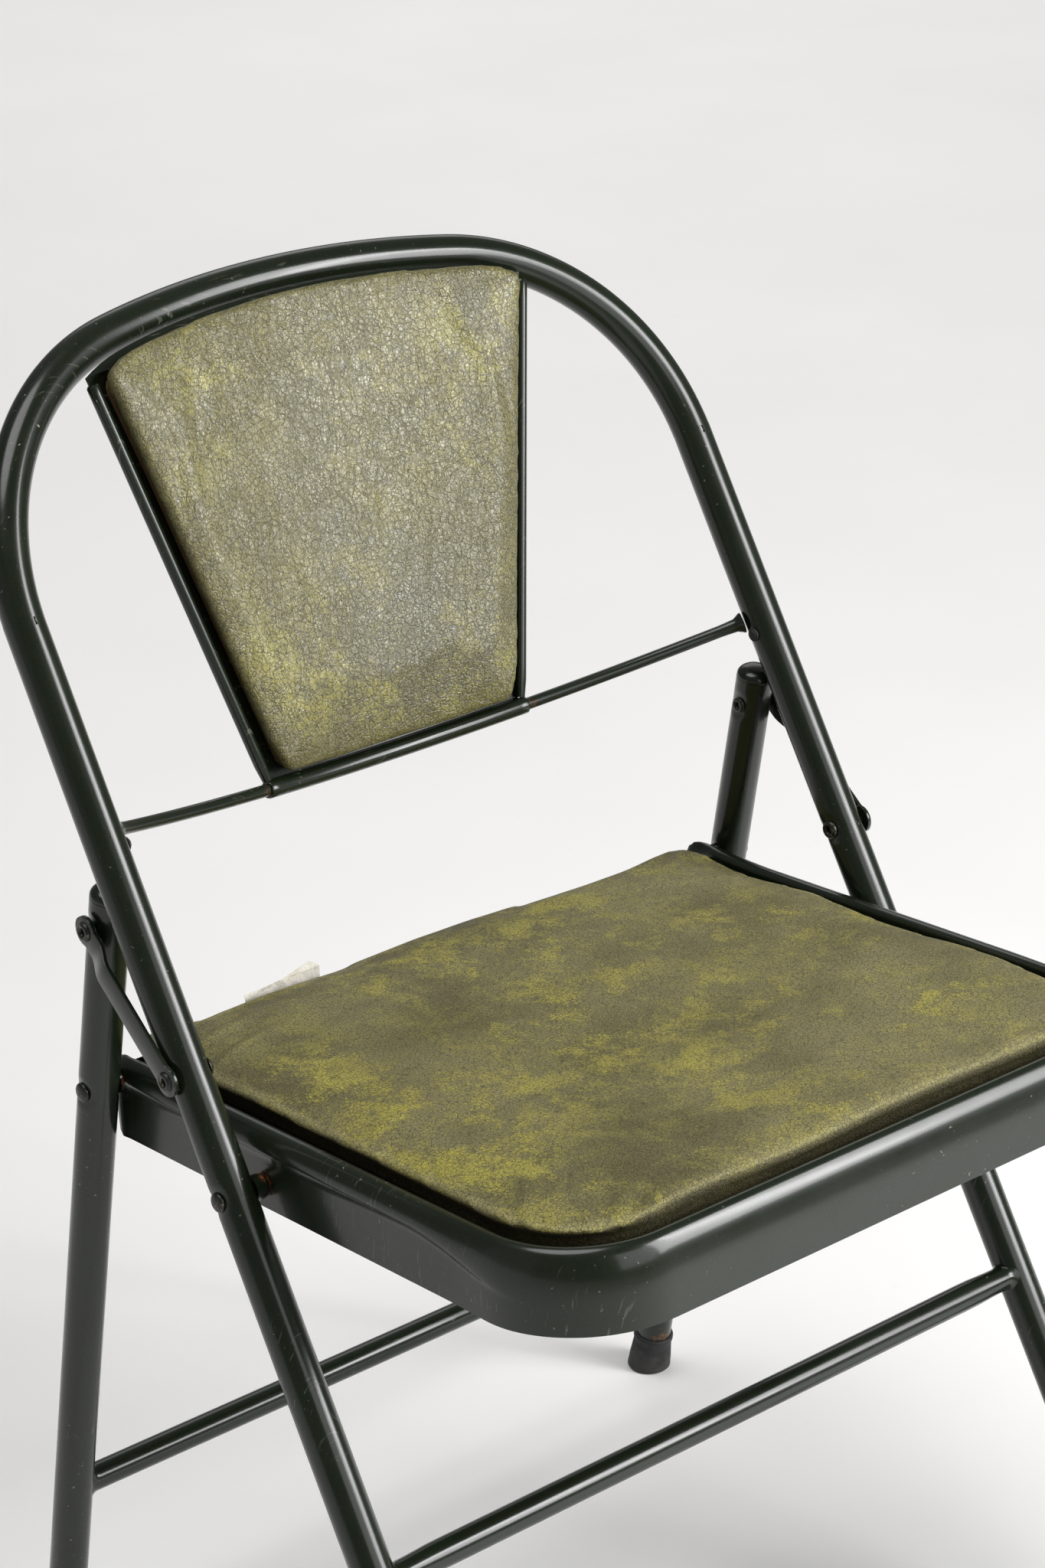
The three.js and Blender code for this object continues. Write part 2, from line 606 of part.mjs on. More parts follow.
/** Domed steel plug in the top of a rear leg. */
function legCap() {
  const plug = TUBE_RADIUS - TUBE_WALL - GAP;
  return turnedZ([[0, -8], [plug, -8], [plug, GAP], [TUBE_RADIUS, GAP], [TUBE_RADIUS, 1.2],
    [TUBE_RADIUS * 0.86, 3.4], [TUBE_RADIUS * 0.56, 5.8], [0, 7]], 16);
}

// ---- seat -----------------------------------------------------------------------------------------
/** Stations round the seat pan's outline, pulled in by `inset`. Anticlockwise from the rear right. */
function seatLoop(inset) {
  const half = SEAT_HALF - inset;
  const front = SEAT_FRONT + inset;
  const rear = SEAT_REAR - inset;
  const points = [];
  const corner = (x, y, radius, from, steps) => {
    for (let i = 0; i <= steps; i += 1) {
      const angle = from + Math.PI / 2 * i / steps;
      points.push([x + radius * Math.cos(angle), y + radius * Math.sin(angle)]);
    }
  };
  const rearRadius = Math.max(1, SEAT_REAR_CORNER - inset);
  const frontRadius = SEAT_CORNER - inset;
  corner(half - rearRadius, rear - rearRadius, rearRadius, 0, 3);
  for (const x of [196, 60, -60, -196]) points.push([x, rear]);
  corner(rearRadius - half, rear - rearRadius, rearRadius, Math.PI / 2, 3);
  for (const y of [124, 116, 100, -60]) points.push([-half, y]);
  corner(frontRadius - half, front + frontRadius, frontRadius, Math.PI, 9);
  corner(half - frontRadius, front + frontRadius, frontRadius, Math.PI * 3 / 2, 9);
  for (const y of [-60, 100, 116, 124]) points.push([half, y]);
  return points;
}

/** 1 where the pan has its raised rim, 0 along the open rear edge. */
function rimShare(x, y) {
  return y < RIM_END ? 1 : smooth(Math.abs(x), 197, 204);
}

/** Height of the skirt's lower edge: only a short flange goes on round the rear corners. */
const skirtBottom = (y) => lerp(SKIRT_BOTTOM, 3, smooth(y, 130, 139));

/** One loop of the pan's skin. `height` above `floor` belongs to the rim and sinks at the rear edge. */
function panLoop(inset, height, floor) {
  return seatLoop(inset).map(([x, y]) => {
    if (height === SKIRT_BOTTOM) return vec(x, y, skirtBottom(y));
    return vec(x, y, lerp(floor, height, rimShare(x, y)));
  });
}

function seatPan() {
  const wallTop = RIM_TOP - RIM_RADIUS;
  const lipBase = RIM_TOP - LIP_RADIUS;
  const lipInset = RIM_RADIUS + LIP_RADIUS;
  const under = FLOOR - SHEET;
  const upper = [[lipInset, FLOOR], [lipInset, lipBase]];
  const lower = [[lipInset - SHEET, under], [lipInset - SHEET, lipBase]];
  for (const angle of [45, 90]) {
    const turn = angle * Math.PI / 180;
    const rise = (radius) => [RIM_RADIUS + radius * Math.cos(turn), lipBase + radius * Math.sin(turn)];
    upper.push(rise(LIP_RADIUS));
    lower.push(rise(LIP_RADIUS - SHEET));
  }
  for (const angle of [60, 30, 0]) {
    const turn = angle * Math.PI / 180;
    const fall = (radius) => [RIM_RADIUS - radius * Math.cos(turn), wallTop + radius * Math.sin(turn)];
    upper.push(fall(RIM_RADIUS));
    lower.push(fall(RIM_RADIUS - SHEET));
  }
  const inside = lower.map(([inset, height]) => panLoop(inset, height, under));
  const hem = [panLoop(SHEET, SKIRT_BOTTOM, under), panLoop(0, SKIRT_BOTTOM, FLOOR)];
  const outside = upper.map(([inset, height]) => panLoop(inset, height, FLOOR)).reverse();
  const holes = SIDES.flatMap((side) => [
    barX(RIVET_RADIUS + GAP, side * 208, side * 222, 0, 0),
    barX(RIVET_RADIUS + GAP, side * 208, side * 222, REAR_PIVOT.back, REAR_PIVOT.up),
  ]);
  return carve(skin([...inside, ...hem, ...outside]), {
    cut: [...holes, ...seatScrewHoles()],
  });
}

/** Outline of the seat pad. It lies a little askew, closer to the left rim than to the right one. */
const seatPadOutline = roundedOutline([
  [-194, 139, 18], [-199, -226, 58], [187, -226, 58], [185, -40, 60], [199, 133, 22],
], 6);
const flat = (x, y, height) => vec(x, y, height);

function seatBoard() {
  const bottom = FLOOR + GAP;
  const top = bottom + SEAT_BOARD_THICKNESS;
  const levels = [[0.5, bottom], [7, bottom], [7, top], [0.5, top]];
  return carve(skin(layered(seatPadOutline, levels, flat)), { cut: seatScrewHoles() });
}

function seatPad() {
  const bottom = FLOOR + GAP + SEAT_BOARD_THICKNESS + GAP;
  const top = bottom + SEAT_PAD_THICKNESS;
  const levels = [
    [0.5, bottom], [5, bottom], [1.6, bottom + 3], [1, bottom + 7], [2, top - 9.3], [5.5, top - 6.3],
    [13, top - 4.6], [0.8, top - 2.8], [0.5, top - 0.8], [0.25, top],
  ];
  return skin(layered(seatPadOutline, levels, flat));
}

/** Blank paper tag that sticks up behind the seat pad. */
function seatTag() {
  const corners = [[-121, 13], [-69, 13], [-69, 38], [-75, 42], [-82, 38.5], [-121, 36.5]];
  const outline = new THREE.Shape(corners.map(([x, z]) => new THREE.Vector2(x, z)));
  const sheet = new THREE.ExtrudeGeometry(outline, { depth: 0.7, bevelEnabled: false });
  return sheet.rotateX(Math.PI / 2).translate(0, SEAT_REAR - 0.6, 0);
}

// ---- rear legs ------------------------------------------------------------------------------------
const rearHalf = (up) => REAR_HALF - REAR_TAPER * up;

// The link's upper pivot, moved from the back frame into the rear legs' frame.
const seatPivotToLink = vec(0, LINK_UPPER.rear, LINK_UPPER.up).applyAxisAngle(vec(1, 0, 0), -FRAME_LEAN);
const seatPivotToRear = vec(0, REAR_PIVOT.back, REAR_PIVOT.up).applyAxisAngle(vec(1, 0, 0), -SEAT_TILT);
const linkOnRearLeg = seatPivotToLink.clone().sub(seatPivotToRear).applyAxisAngle(vec(1, 0, 0), -REAR_LEAN);

const rearLegEnd = REAR_LEG_FLOOR + FOOT_BELOW;

function rearLeg(side) {
  const stations = [rearLegEnd, REAR_LEG_TOP].map((up) => vec(side * rearHalf(up), 0, up));
  const tube = tubeAlong(stations, TUBE_RADIUS, TUBE_RADIUS - TUBE_WALL, 14);
  return carve(tube, { cut: rivetHoles(side, rearHalf, [0, linkOnRearLeg.z]) });
}

// ---- assembly -------------------------------------------------------------------------------------
const chair = new THREE.Group();

const backFrame = new THREE.Group();
backFrame.position.set(0, SEAT_PIVOT.y, SEAT_PIVOT.z);
backFrame.rotation.x = -FRAME_LEAN;
chair.add(backFrame);

const seat = new THREE.Group();
seat.position.copy(backFrame.position);
seat.rotation.x = -SEAT_TILT;
chair.add(seat);

const rearLegs = new THREE.Group();
rearLegs.position.copy(seatPivotToRear).add(backFrame.position);
rearLegs.rotation.x = REAR_LEAN;
chair.add(rearLegs);

backFrame.add(named('back_frame_tube', backFrameTube(), enamel));
backFrame.add(named('front_stretcher', stretcher(legHalf, FRONT_STRETCHER), enamel));
backFrame.add(named('back_crossbar', backCrossbar(), enamel));
backFrame.add(named('back_pan', backPan(), enamel));
backFrame.add(named('back_board', backBoard(), fibreboard));
backFrame.add(named('back_pad', backPad(), vinyl));
BACK_SCREWS.forEach(([x, up], i) => {
  const piece = standOnPan(screw(), x, up, SHEET / 2 + GAP);
  backFrame.add(named(`back_screw_${i + 1}`, piece, steel));
});

seat.add(named('seat_pan', seatPan(), enamel));
seat.add(named('seat_board', seatBoard(), fibreboard));
seat.add(named('seat_pad', seatPad(), vinyl));
seat.add(named('seat_tag', seatTag(), paper));
SEAT_SCREWS.forEach(([x, back], i) => {
  const piece = screw().translate(x, back, FLOOR - SHEET - GAP);
  seat.add(named(`seat_screw_${i + 1}`, piece, steel));
});

rearLegs.add(named('rear_stretcher', stretcher(rearHalf, REAR_STRETCHER), enamel));

/** Adds a named mesh to a group and puts it at a place. */
function place(group, mesh, x, y, z) {
  mesh.position.set(x, y, z);
  group.add(mesh);
  return mesh;
}

for (const side of SIDES) {
  const at = SIDE_NAME[side];
  const seatWall = SEAT_HALF - SHEET;

  // seat hinge: a rivet through the frame tube, a spacer and the pan's side wall
  const pivotTube = legHalf(0);
  const hinge = rivet(side, seatWall - GAP, pivotTube + TUBE_RADIUS + GAP);
  backFrame.add(named(`seat_pivot_rivet_${at}`, hinge, steel));
  const hingeRing = spacer(side, SEAT_HALF + GAP, pivotTube - TUBE_RADIUS - GAP);
  backFrame.add(named(`seat_pivot_spacer_${at}`, hingeRing, steel));

  place(backFrame, named(`fold_stop_${at}`, stopButton(side), rubber), 0, 0, STOP_HEIGHT);

  // link with its two rivets
  const bar = place(backFrame, named(`link_${at}`, link(side), enamel), 0, 0, LINK_LOWER);
  bar.rotation.x = linkTurn;
  const linkOuter = lowerFace + LINK_THICKNESS + GAP;
  const lowerRivet = rivet(side, legHalf(LINK_LOWER) - TUBE_RADIUS - GAP, linkOuter);
  place(backFrame, named(`link_lower_rivet_${at}`, lowerRivet, steel), 0, 0, LINK_LOWER);
  const upperRivet = named(`link_upper_rivet_${at}`, linkUpperRivet(side), steel);
  place(backFrame, upperRivet, 0, LINK_UPPER.rear, LINK_UPPER.up);

  // front foot, cut level with the floor
  const frontBlank = footBlank(FRONT_LEG_END, FRONT_FOOT_BELOW);
  const frontTip = carve(frontBlank, { cut: [underFloor(FRAME_LEAN, SEAT_PIVOT.z)] });
  place(backFrame, named(`front_foot_${at}`, frontTip, rubber), side * legHalf(FRONT_LEG_END), 0, 0);

  // rear leg with its cap and foot
  rearLegs.add(named(`rear_leg_${at}`, rearLeg(side), enamel));
  const cap = named(`rear_leg_cap_${at}`, legCap(), enamel);
  place(rearLegs, cap, side * rearHalf(REAR_LEG_TOP), 0, REAR_LEG_TOP);
  const rearBlank = footBlank(rearLegEnd, 2 * FOOT_BELOW);
  const rearTip = carve(rearBlank, { cut: [underFloor(-REAR_LEAN, rearLegs.position.z)] });
  place(rearLegs, named(`rear_foot_${at}`, rearTip, rubber), side * rearHalf(rearLegEnd), 0, 0);

  // rear hinge: its inner head stands clear of the pan's rim
  const rearOuter = REAR_HALF + TUBE_RADIUS + GAP;
  const rearHinge = rivet(side, seatWall - REAR_RIVET_INSET, rearOuter, REAR_RIVET_HEAD);
  rearLegs.add(named(`rear_pivot_rivet_${at}`, rearHinge, steel));
  const rearRing = spacer(side, SEAT_HALF + GAP, REAR_HALF - TUBE_RADIUS - GAP);
  rearLegs.add(named(`rear_pivot_washer_${at}`, rearRing, steel));

  const stud = named(`link_stud_${at}`, linkStud(side, rearHalf(linkOnRearLeg.z)), steel);
  place(rearLegs, stud, 0, linkOnRearLeg.y, linkOnRearLeg.z);
}

export default chair;
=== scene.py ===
"""Padded steel folding chair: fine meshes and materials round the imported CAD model.

Shapes are written in millimetres in one of three tilted frames, as the chair is built:
BACK   z runs up the leaning tubes, y to the rear, origin on the seat's hinge line
SEAT   y runs along the seat to the rear, z is its normal, origin on the seat's hinge line
REAR   z runs up the rear legs, origin on their hinge line with the seat
"""

import json
from math import acos, asin, atan, atan2, copysign, cos, hypot, pi, radians, sin, sqrt, tan

import bmesh
import bpy
import numpy as np
from mathutils import Matrix, Vector, noise


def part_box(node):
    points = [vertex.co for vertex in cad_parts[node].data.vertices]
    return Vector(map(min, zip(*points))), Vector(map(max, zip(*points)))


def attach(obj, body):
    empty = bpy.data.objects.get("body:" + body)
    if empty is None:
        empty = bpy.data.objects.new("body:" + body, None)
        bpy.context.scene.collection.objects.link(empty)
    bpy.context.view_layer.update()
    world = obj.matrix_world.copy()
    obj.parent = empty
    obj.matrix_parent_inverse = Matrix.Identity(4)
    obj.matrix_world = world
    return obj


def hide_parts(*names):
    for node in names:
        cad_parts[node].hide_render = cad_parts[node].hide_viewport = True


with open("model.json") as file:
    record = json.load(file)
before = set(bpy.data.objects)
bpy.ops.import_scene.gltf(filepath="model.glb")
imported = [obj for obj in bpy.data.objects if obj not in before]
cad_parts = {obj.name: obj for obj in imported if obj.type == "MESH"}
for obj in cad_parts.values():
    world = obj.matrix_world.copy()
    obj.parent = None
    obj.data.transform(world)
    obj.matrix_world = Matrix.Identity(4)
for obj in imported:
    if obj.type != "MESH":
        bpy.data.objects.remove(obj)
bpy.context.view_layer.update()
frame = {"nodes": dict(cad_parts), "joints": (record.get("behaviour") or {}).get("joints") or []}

MM = 0.001
SIDES = {"left": -1, "right": 1}
HINGES = {joint["name"]: Vector(joint["pos_m"]) for joint in frame["joints"]}


def tilted(origin, degrees):
    """A frame in millimetres at an origin in metres, turned about X."""
    return Matrix.Translation(origin) @ Matrix.Rotation(radians(degrees), 4, "X") @ Matrix.Scale(MM, 4)


BACK = tilted(HINGES["seat_fold"], -33.29)
SEAT = tilted(HINGES["seat_fold"], -6.1)
REAR = tilted(HINGES["rear_leg_fold"], 9.38)

# ---- driving dimensions, as in the CAD model ----
TUBE = 11.1
ROD = 3.5
STRETCHER = 7.95
SHEET = 1.2
PIVOT_HALF = 232.3
LEG_TAPER = 0.00476
ARCH_TOP = 461.9
ARCH_RADIUS = 560
CORNER_RADIUS = 145
ARCH_BOW = 16
FRONT_LEG_END = -453.6
FRONT_STRETCHER = -209.5
CROSSBAR_HEIGHT = 197.4
CROSSBAR_BOW = 68
CROSSBAR_DROOP = 0.036
SLEEVE_HALF = 92
PAN_HEIGHT = 226.4
PAN_BOTTOM = {"half": 88.6, "depth": 62.5, "bow": 9.8}
PAN_TOP = {"half": 146.7, "depth": -4, "bow": 20}
BEAD = 3.5
REAR_HALF = 227.75
REAR_TAPER = 0.0035
REAR_LEG_TOP = 121.5
REAR_LEG_END = -396.5
REAR_STRETCHER = -282.4
SEAT_HALF = 215.5
SEAT_FRONT = -244
SEAT_REAR = 141
SEAT_CORNER = 66
SEAT_REAR_CORNER = 15
SKIRT_BOTTOM = -13.3
RIM_TOP = 29.5
RIM = 9.5
LIP = 4
PAN_FLOOR = 12
CURVED_GAP = 0.8
FLAT_GAP = 0.3
BACK_BOARD = 3
SEAT_BOARD = 3.9
LINK_UPPER = {"rear": 32, "up": 153.8}
LINK_RISE = 87


def lerp(low, high, share):
    return low + (high - low) * share


def smooth(value, low, high):
    share = min(max((value - low) / (high - low), 0), 1)
    return share * share * (3 - 2 * share)


def spread(low, high, count):
    """count + 1 values from low to high."""
    return [lerp(low, high, i / count) for i in range(count + 1)]


def turns(sides):
    """The angles of a regular polygon's corners."""
    return [2 * pi * i / sides for i in range(sides)]


def added(name, data):
    """A new object in the scene."""
    made = bpy.data.objects.new(name, data)
    bpy.context.scene.collection.objects.link(made)
    return made


def towards(place, aim):
    """The rotation of a camera or a light at place that looks at aim."""
    return (Vector(aim) - Vector(place)).to_track_quat("-Z", "Y").to_euler()


# ---- camera ----
CAMERA_PLACE = (-1.21513, -1.40497, 1.39786)
CAMERA_AIM = (0, 0.04628, 0.53497)
CAMERA_LENS = 88.87
camera_data = bpy.data.cameras.new("camera")
camera_data.lens = CAMERA_LENS
camera = added("camera", camera_data)
camera.location = CAMERA_PLACE
camera.rotation_euler = towards(CAMERA_PLACE, CAMERA_AIM)
bpy.context.scene.camera = camera


# ---- materials ----
def tone(red, green, blue):
    """An sRGB colour, 0 to 255, as linear RGBA."""
    parts = [c / 255 for c in (red, green, blue)]
    return tuple(p / 12.92 if p < 0.04045 else ((p + 0.055) / 1.055) ** 2.4 for p in parts) + (1,)


class Look:
    """A procedural material, with short ways to wire its nodes."""

    def __init__(self, name):
        self.material = bpy.data.materials.new(name)
        self.material.use_nodes = True
        self.tree = self.material.node_tree
        self.shader = self.tree.nodes["Principled BSDF"]
        self.place = self.node("TexCoord").outputs["Object"]

    def node(self, kind, inputs=None, **settings):
        made = self.tree.nodes.new("ShaderNode" + kind)
        for name, value in settings.items():
            setattr(made, name, value)
        for name, value in (inputs or {}).items():
            self.feed(made.inputs[name], value)
        return made

    def feed(self, socket, value):
        if isinstance(value, bpy.types.NodeSocket):
            self.tree.links.new(value, socket)
        else:
            socket.default_value = value

    def set(self, **inputs):
        for name, value in inputs.items():
            self.feed(self.shader.inputs[name.replace("_", " ")], value)

    def scaled(self, scale, turn=(0, 0, 0), vector=None):
        inputs = {"Vector": vector or self.place, "Scale": scale, "Rotation": turn}
        return self.node("Mapping", inputs).outputs["Vector"]

    def noise(self, scale, detail=3, rough=0.5, vector=None):
        inputs = {"Vector": vector or self.place, "Scale": scale, "Detail": detail, "Roughness": rough}
        return self.node("TexNoise", inputs).outputs["Fac"]

    def warped(self, scale, amount):
        """Coordinates pushed about by a noise, by up to amount metres."""
        push = self.node("TexNoise", {"Vector": self.place, "Scale": scale, "Detail": 2}).outputs["Color"]
        centred = self.node("VectorMath", {0: push, 1: (0.5, 0.5, 0.5)}, operation="SUBTRACT").outputs[0]
        moved = self.node("VectorMath", {0: centred, "Scale": 2 * amount}, operation="SCALE").outputs[0]
        return self.node("VectorMath", {0: self.place, 1: moved}, operation="ADD").outputs[0]

    def cells(self, scale, vector):
        """Distance to the nearest edge between the cells of a Voronoi pattern."""
        inputs = {"Vector": vector, "Scale": scale}
        return self.node("TexVoronoi", inputs, feature="DISTANCE_TO_EDGE").outputs["Distance"]

    def step(self, value, low, high, start=0, end=1):
        """A smooth step from start to end as value goes from low to high."""
        inputs = {"Value": value, "From Min": low, "From Max": high, "To Min": start, "To Max": end}
        return self.node("MapRange", inputs, interpolation_type="SMOOTHSTEP").outputs["Result"]

    def maths(self, operation, first, second):
        return self.node("Math", {0: first, 1: second}, operation=operation).outputs[0]

    def times(self, first, second):
        return self.maths("MULTIPLY", first, second)

    def mixed(self, share, first, second):
        inputs = {0: share, 6: first, 7: second}
        return self.node("Mix", inputs, data_type="RGBA").outputs[2]

    def attribute(self, name):
        return self.node("Attribute", attribute_name=name).outputs["Fac"]

    def bump(self, height, distance, normal=None):
        inputs = {"Height": height, "Distance": distance}
        if normal:
            inputs["Normal"] = normal
        return self.node("Bump", inputs).outputs["Normal"]


def enamel_look():
    """Dark green stove enamel, satin with a hard gloss coat, small chips and some rust."""
    look = Look("enamel")
    cloud = look.noise(9, 4)
    body = look.mixed(cloud, tone(12, 18, 10), tone(22, 31, 17))
    speckle = look.step(look.noise(1500, 2), 0.45, 0.75)
    body = look.mixed(look.times(speckle, 0.2), body, tone(52, 58, 45))

    # chips down to pale primer, in a few clusters, and hair scratches
    cluster = look.step(look.noise(7, 2), 0.54, 0.66)
    fleck = look.step(look.noise(330, 3, 0.6), 0.69, 0.72)
    worn = look.attribute("worn")
    chips = look.times(fleck, look.maths("MAXIMUM", look.times(cluster, 0.5), worn))
    body = look.mixed(chips, body, tone(168, 164, 150))
    hair = look.noise(60, 2, 0.5, look.scaled((1, 14, 1), (0.6, 0, 0.4), look.warped(8, 0.01)))
    hair = look.times(look.step(hair, 0.66, 0.69), cluster)
    body = look.mixed(look.times(hair, 0.35), body, tone(120, 122, 110))

    # rust in the marked places, broken up by noise
    rusty = look.attribute("rust")
    grain = look.noise(420, 5, 0.65)
    rust = look.step(look.maths("ADD", rusty, look.times(grain, 0.9)), 0.92, 1.12)
    stain = look.noise(700, 3)
    body = look.mixed(rust, body, look.mixed(stain, tone(74, 40, 22), tone(146, 84, 42)))

    rough = look.step(look.noise(40, 4), 0.3, 0.7, 0.27, 0.38)
    rough = look.maths("MAXIMUM", rough, look.times(rust, 0.8))
    peel = look.bump(look.noise(190, 2), 0.00006)
    grit = look.bump(look.noise(1400, 3, 0.6), 0.00002, peel)
    pits = look.bump(look.maths("SUBTRACT", look.times(rust, grain), chips), 0.0002, grit)
    look.set(Base_Color=body, Roughness=rough, Normal=pits, Specular_IOR_Level=0.16)
    look.set(Coat_Weight=0.65, Coat_Roughness=0.15)
    return look.material


def vinyl_look(name, tones, grain, depth, patches, spots, gloss, rough, varnish):
    """Antiqued olive vinyl: creased leather grain of grain metres, sponged with yellow spots, its grain
    valleys darkened as painted shade.
    """
    look = Look(name)
    dark, light, edge = tones
    murk = look.noise(7, 5, 0.6)
    body = look.mixed(look.step(murk, 0.35, 0.65), dark, light)
    ragged = look.noise(patches, 8, 0.78, look.scaled((1, 1, 1), (0, 0, 0.6), look.warped(18, 0.018)))
    sponge = look.noise(700, 4, 0.75)
    ragged = look.maths("ADD", ragged, look.times(look.maths("SUBTRACT", sponge, 0.5), 0.55))
    strong = look.step(look.noise(9, 3), 0.36, 0.66, 0.25, 1)
    patch = look.times(look.step(ragged, 0.47, 0.61), strong)
    body = look.mixed(look.times(patch, spots), body, tone(172, 163, 68))
    # edge: on the back pad a deeper olive border; on the seat pad painted shade on the side wall under its
    # overhanging top
    body = look.mixed(look.attribute("edge"), body, edge)
    # painted highlight: a pale band along the seat pad's top edge, where the light catches it
    body = look.mixed(look.attribute("hem"), body, tone(164, 156, 108))

    # grain: cells of two sizes with crisp valleys, and hair creases running roughly up and down
    pushed = look.warped(0.8 / grain, 0.35 * grain)
    relief = look.step(look.cells(1 / grain, pushed), 0.0, 0.13)
    finer = look.step(look.cells(2.1 / grain, look.warped(2 / grain, 0.2 * grain)), 0.0, 0.18)
    swell = look.noise(0.5 / grain, 4, 0.6)
    relief = look.maths("ADD", look.times(relief, 0.5), look.times(finer, 0.4))
    runs = look.noise(170, 3, 0.6, look.scaled((1, 1, 0.2), (0.25, 0.5, 0), look.warped(22, 0.014)))
    ridge = look.maths("ABSOLUTE", look.maths("SUBTRACT", runs, 0.5), 0)
    hair = look.times(look.step(ridge, 0.0, 0.035, 1, 0), look.step(murk, 0.42, 0.6))
    # painted shade: the grain's valleys are coloured darker, as if in shadow
    body = look.mixed(look.step(relief, 0.7, 0.2, 0, 0.7), body, tone(44, 41, 20))
    speck = look.step(look.noise(1300, 2), 0.38, 0.66)
    body = look.mixed(look.times(speck, 0.2), body, tone(168, 164, 128))

    shine = look.step(look.noise(120, 3), 0.3, 0.7, rough, rough + 0.14)
    soft = look.bump(look.noise(45, 4), 0.0012)
    waves = look.bump(swell, depth, soft)
    worn = look.bump(look.maths("SUBTRACT", relief, look.times(hair, 0.8)), depth, waves)
    pores = look.bump(look.noise(2600, 2), 0.00003, worn)
    look.set(Base_Color=body, Roughness=shine, Normal=pores, Specular_IOR_Level=gloss)
    look.set(Coat_Weight=varnish, Coat_Roughness=0.3)
    return look.material


def rubber_look():
    look = Look("rubber")
    dust = look.step(look.noise(60, 5, 0.6), 0.45, 0.8)
    body = look.mixed(dust, tone(26, 26, 27), tone(62, 60, 57))
    scuff = look.bump(look.noise(500, 4, 0.6), 0.0001)
    rough = look.step(look.noise(90, 2), 0.3, 0.7, 0.55, 0.8)
    look.set(Base_Color=body, Roughness=rough, Normal=scuff)
    return look.material


def hardware_look():
    """Rivets that were painted with the frame, worn to brown steel on their crowns."""
    look = Look("hardware")
    paint = look.mixed(look.noise(300, 3), tone(24, 27, 22), tone(42, 46, 39))
    worn = look.step(look.noise(380, 4, 0.6), 0.54, 0.66)
    body = look.mixed(worn, paint, tone(98, 84, 68))
    rough = look.step(look.noise(600, 3), 0.3, 0.7, 0.3, 0.5)
    dents = look.bump(look.noise(500, 3), 0.00008)
    look.set(Base_Color=body, Roughness=rough, Normal=dents, Metallic=0.55)
    look.set(Coat_Weight=0.2, Coat_Roughness=0.2)
    return look.material


def fibreboard_look():
    look = Look("fibreboard")
    fibre = look.noise(300, 5, 0.7, look.scaled((1, 3, 1)))
    body = look.mixed(fibre, tone(74, 52, 34), tone(124, 94, 64))
    look.set(Base_Color=body, Roughness=0.85, Normal=look.bump(fibre, 0.0003))
    return look.material


def paper_look():
    look = Look("paper")
    body = look.mixed(look.noise(50, 5, 0.6), tone(206, 200, 186), tone(232, 229, 220))
    stain = look.step(look.noise(28, 3), 0.56, 0.75)
    body = look.mixed(look.times(stain, 0.5), body, tone(186, 172, 146))
    crumple = look.bump(look.noise(160, 4, 0.6), 0.0014)
    look.set(Base_Color=body, Roughness=0.8, Normal=crumple)
    return look.material


ENAMEL = enamel_look()
# each gives dark and light olive, then a border tone; the seat's border tone is dark, painted shade for its
# side wall
BACK_TONES = (tone(70, 65, 25), tone(98, 92, 45), tone(86, 80, 24))
SEAT_TONES = (tone(88, 82, 47), tone(128, 121, 82), tone(44, 38, 22))
BACK_VINYL = vinyl_look("back_vinyl", BACK_TONES, grain=0.0044, depth=0.0003, patches=20, spots=0.65,
                        gloss=0.72, rough=0.3, varnish=0.135)
SEAT_VINYL = vinyl_look("seat_vinyl", SEAT_TONES, grain=0.0026, depth=0.00026, patches=26, spots=1,
                        gloss=0.3, rough=0.48, varnish=0)
RUBBER = rubber_look()
HARDWARE = hardware_look()
FIBREBOARD = fibreboard_look()
PAPER = paper_look()


# ---- meshes ----
def ring(centre, across, upward, radius, sides):
    """Points of a round section."""
    return [centre + across * (radius * cos(a)) + upward * (radius * sin(a)) for a in turns(sides)]


def swept(stations, radii, sides):
    """Rings of a round section along a path. radii is a radius or a function of the station's number."""
    path = [Vector(station) for station in stations]
    rings = []
    across = Vector((0, 1, 0))
    for i, centre in enumerate(path):
        tangent = (path[min(i + 1, len(path) - 1)] - path[max(i - 1, 0)]).normalized()
        across = (across - tangent * across.dot(tangent)).normalized()
        radius = radii(i) if callable(radii) else radii
        rings.append(ring(centre, across, tangent.cross(across), radius, sides))
    return rings


def turned(profile, axis, origin=(0, 0, 0)):
    """Rings of a lathed piece. The profile lists (radius, distance along the axis)."""
    axis, origin = Vector(axis), Vector(origin)
    across = axis.orthogonal().normalized()
    upward = axis.cross(across)
    return [ring(origin + axis * along, across, upward, radius, 40) for radius, along in profile]


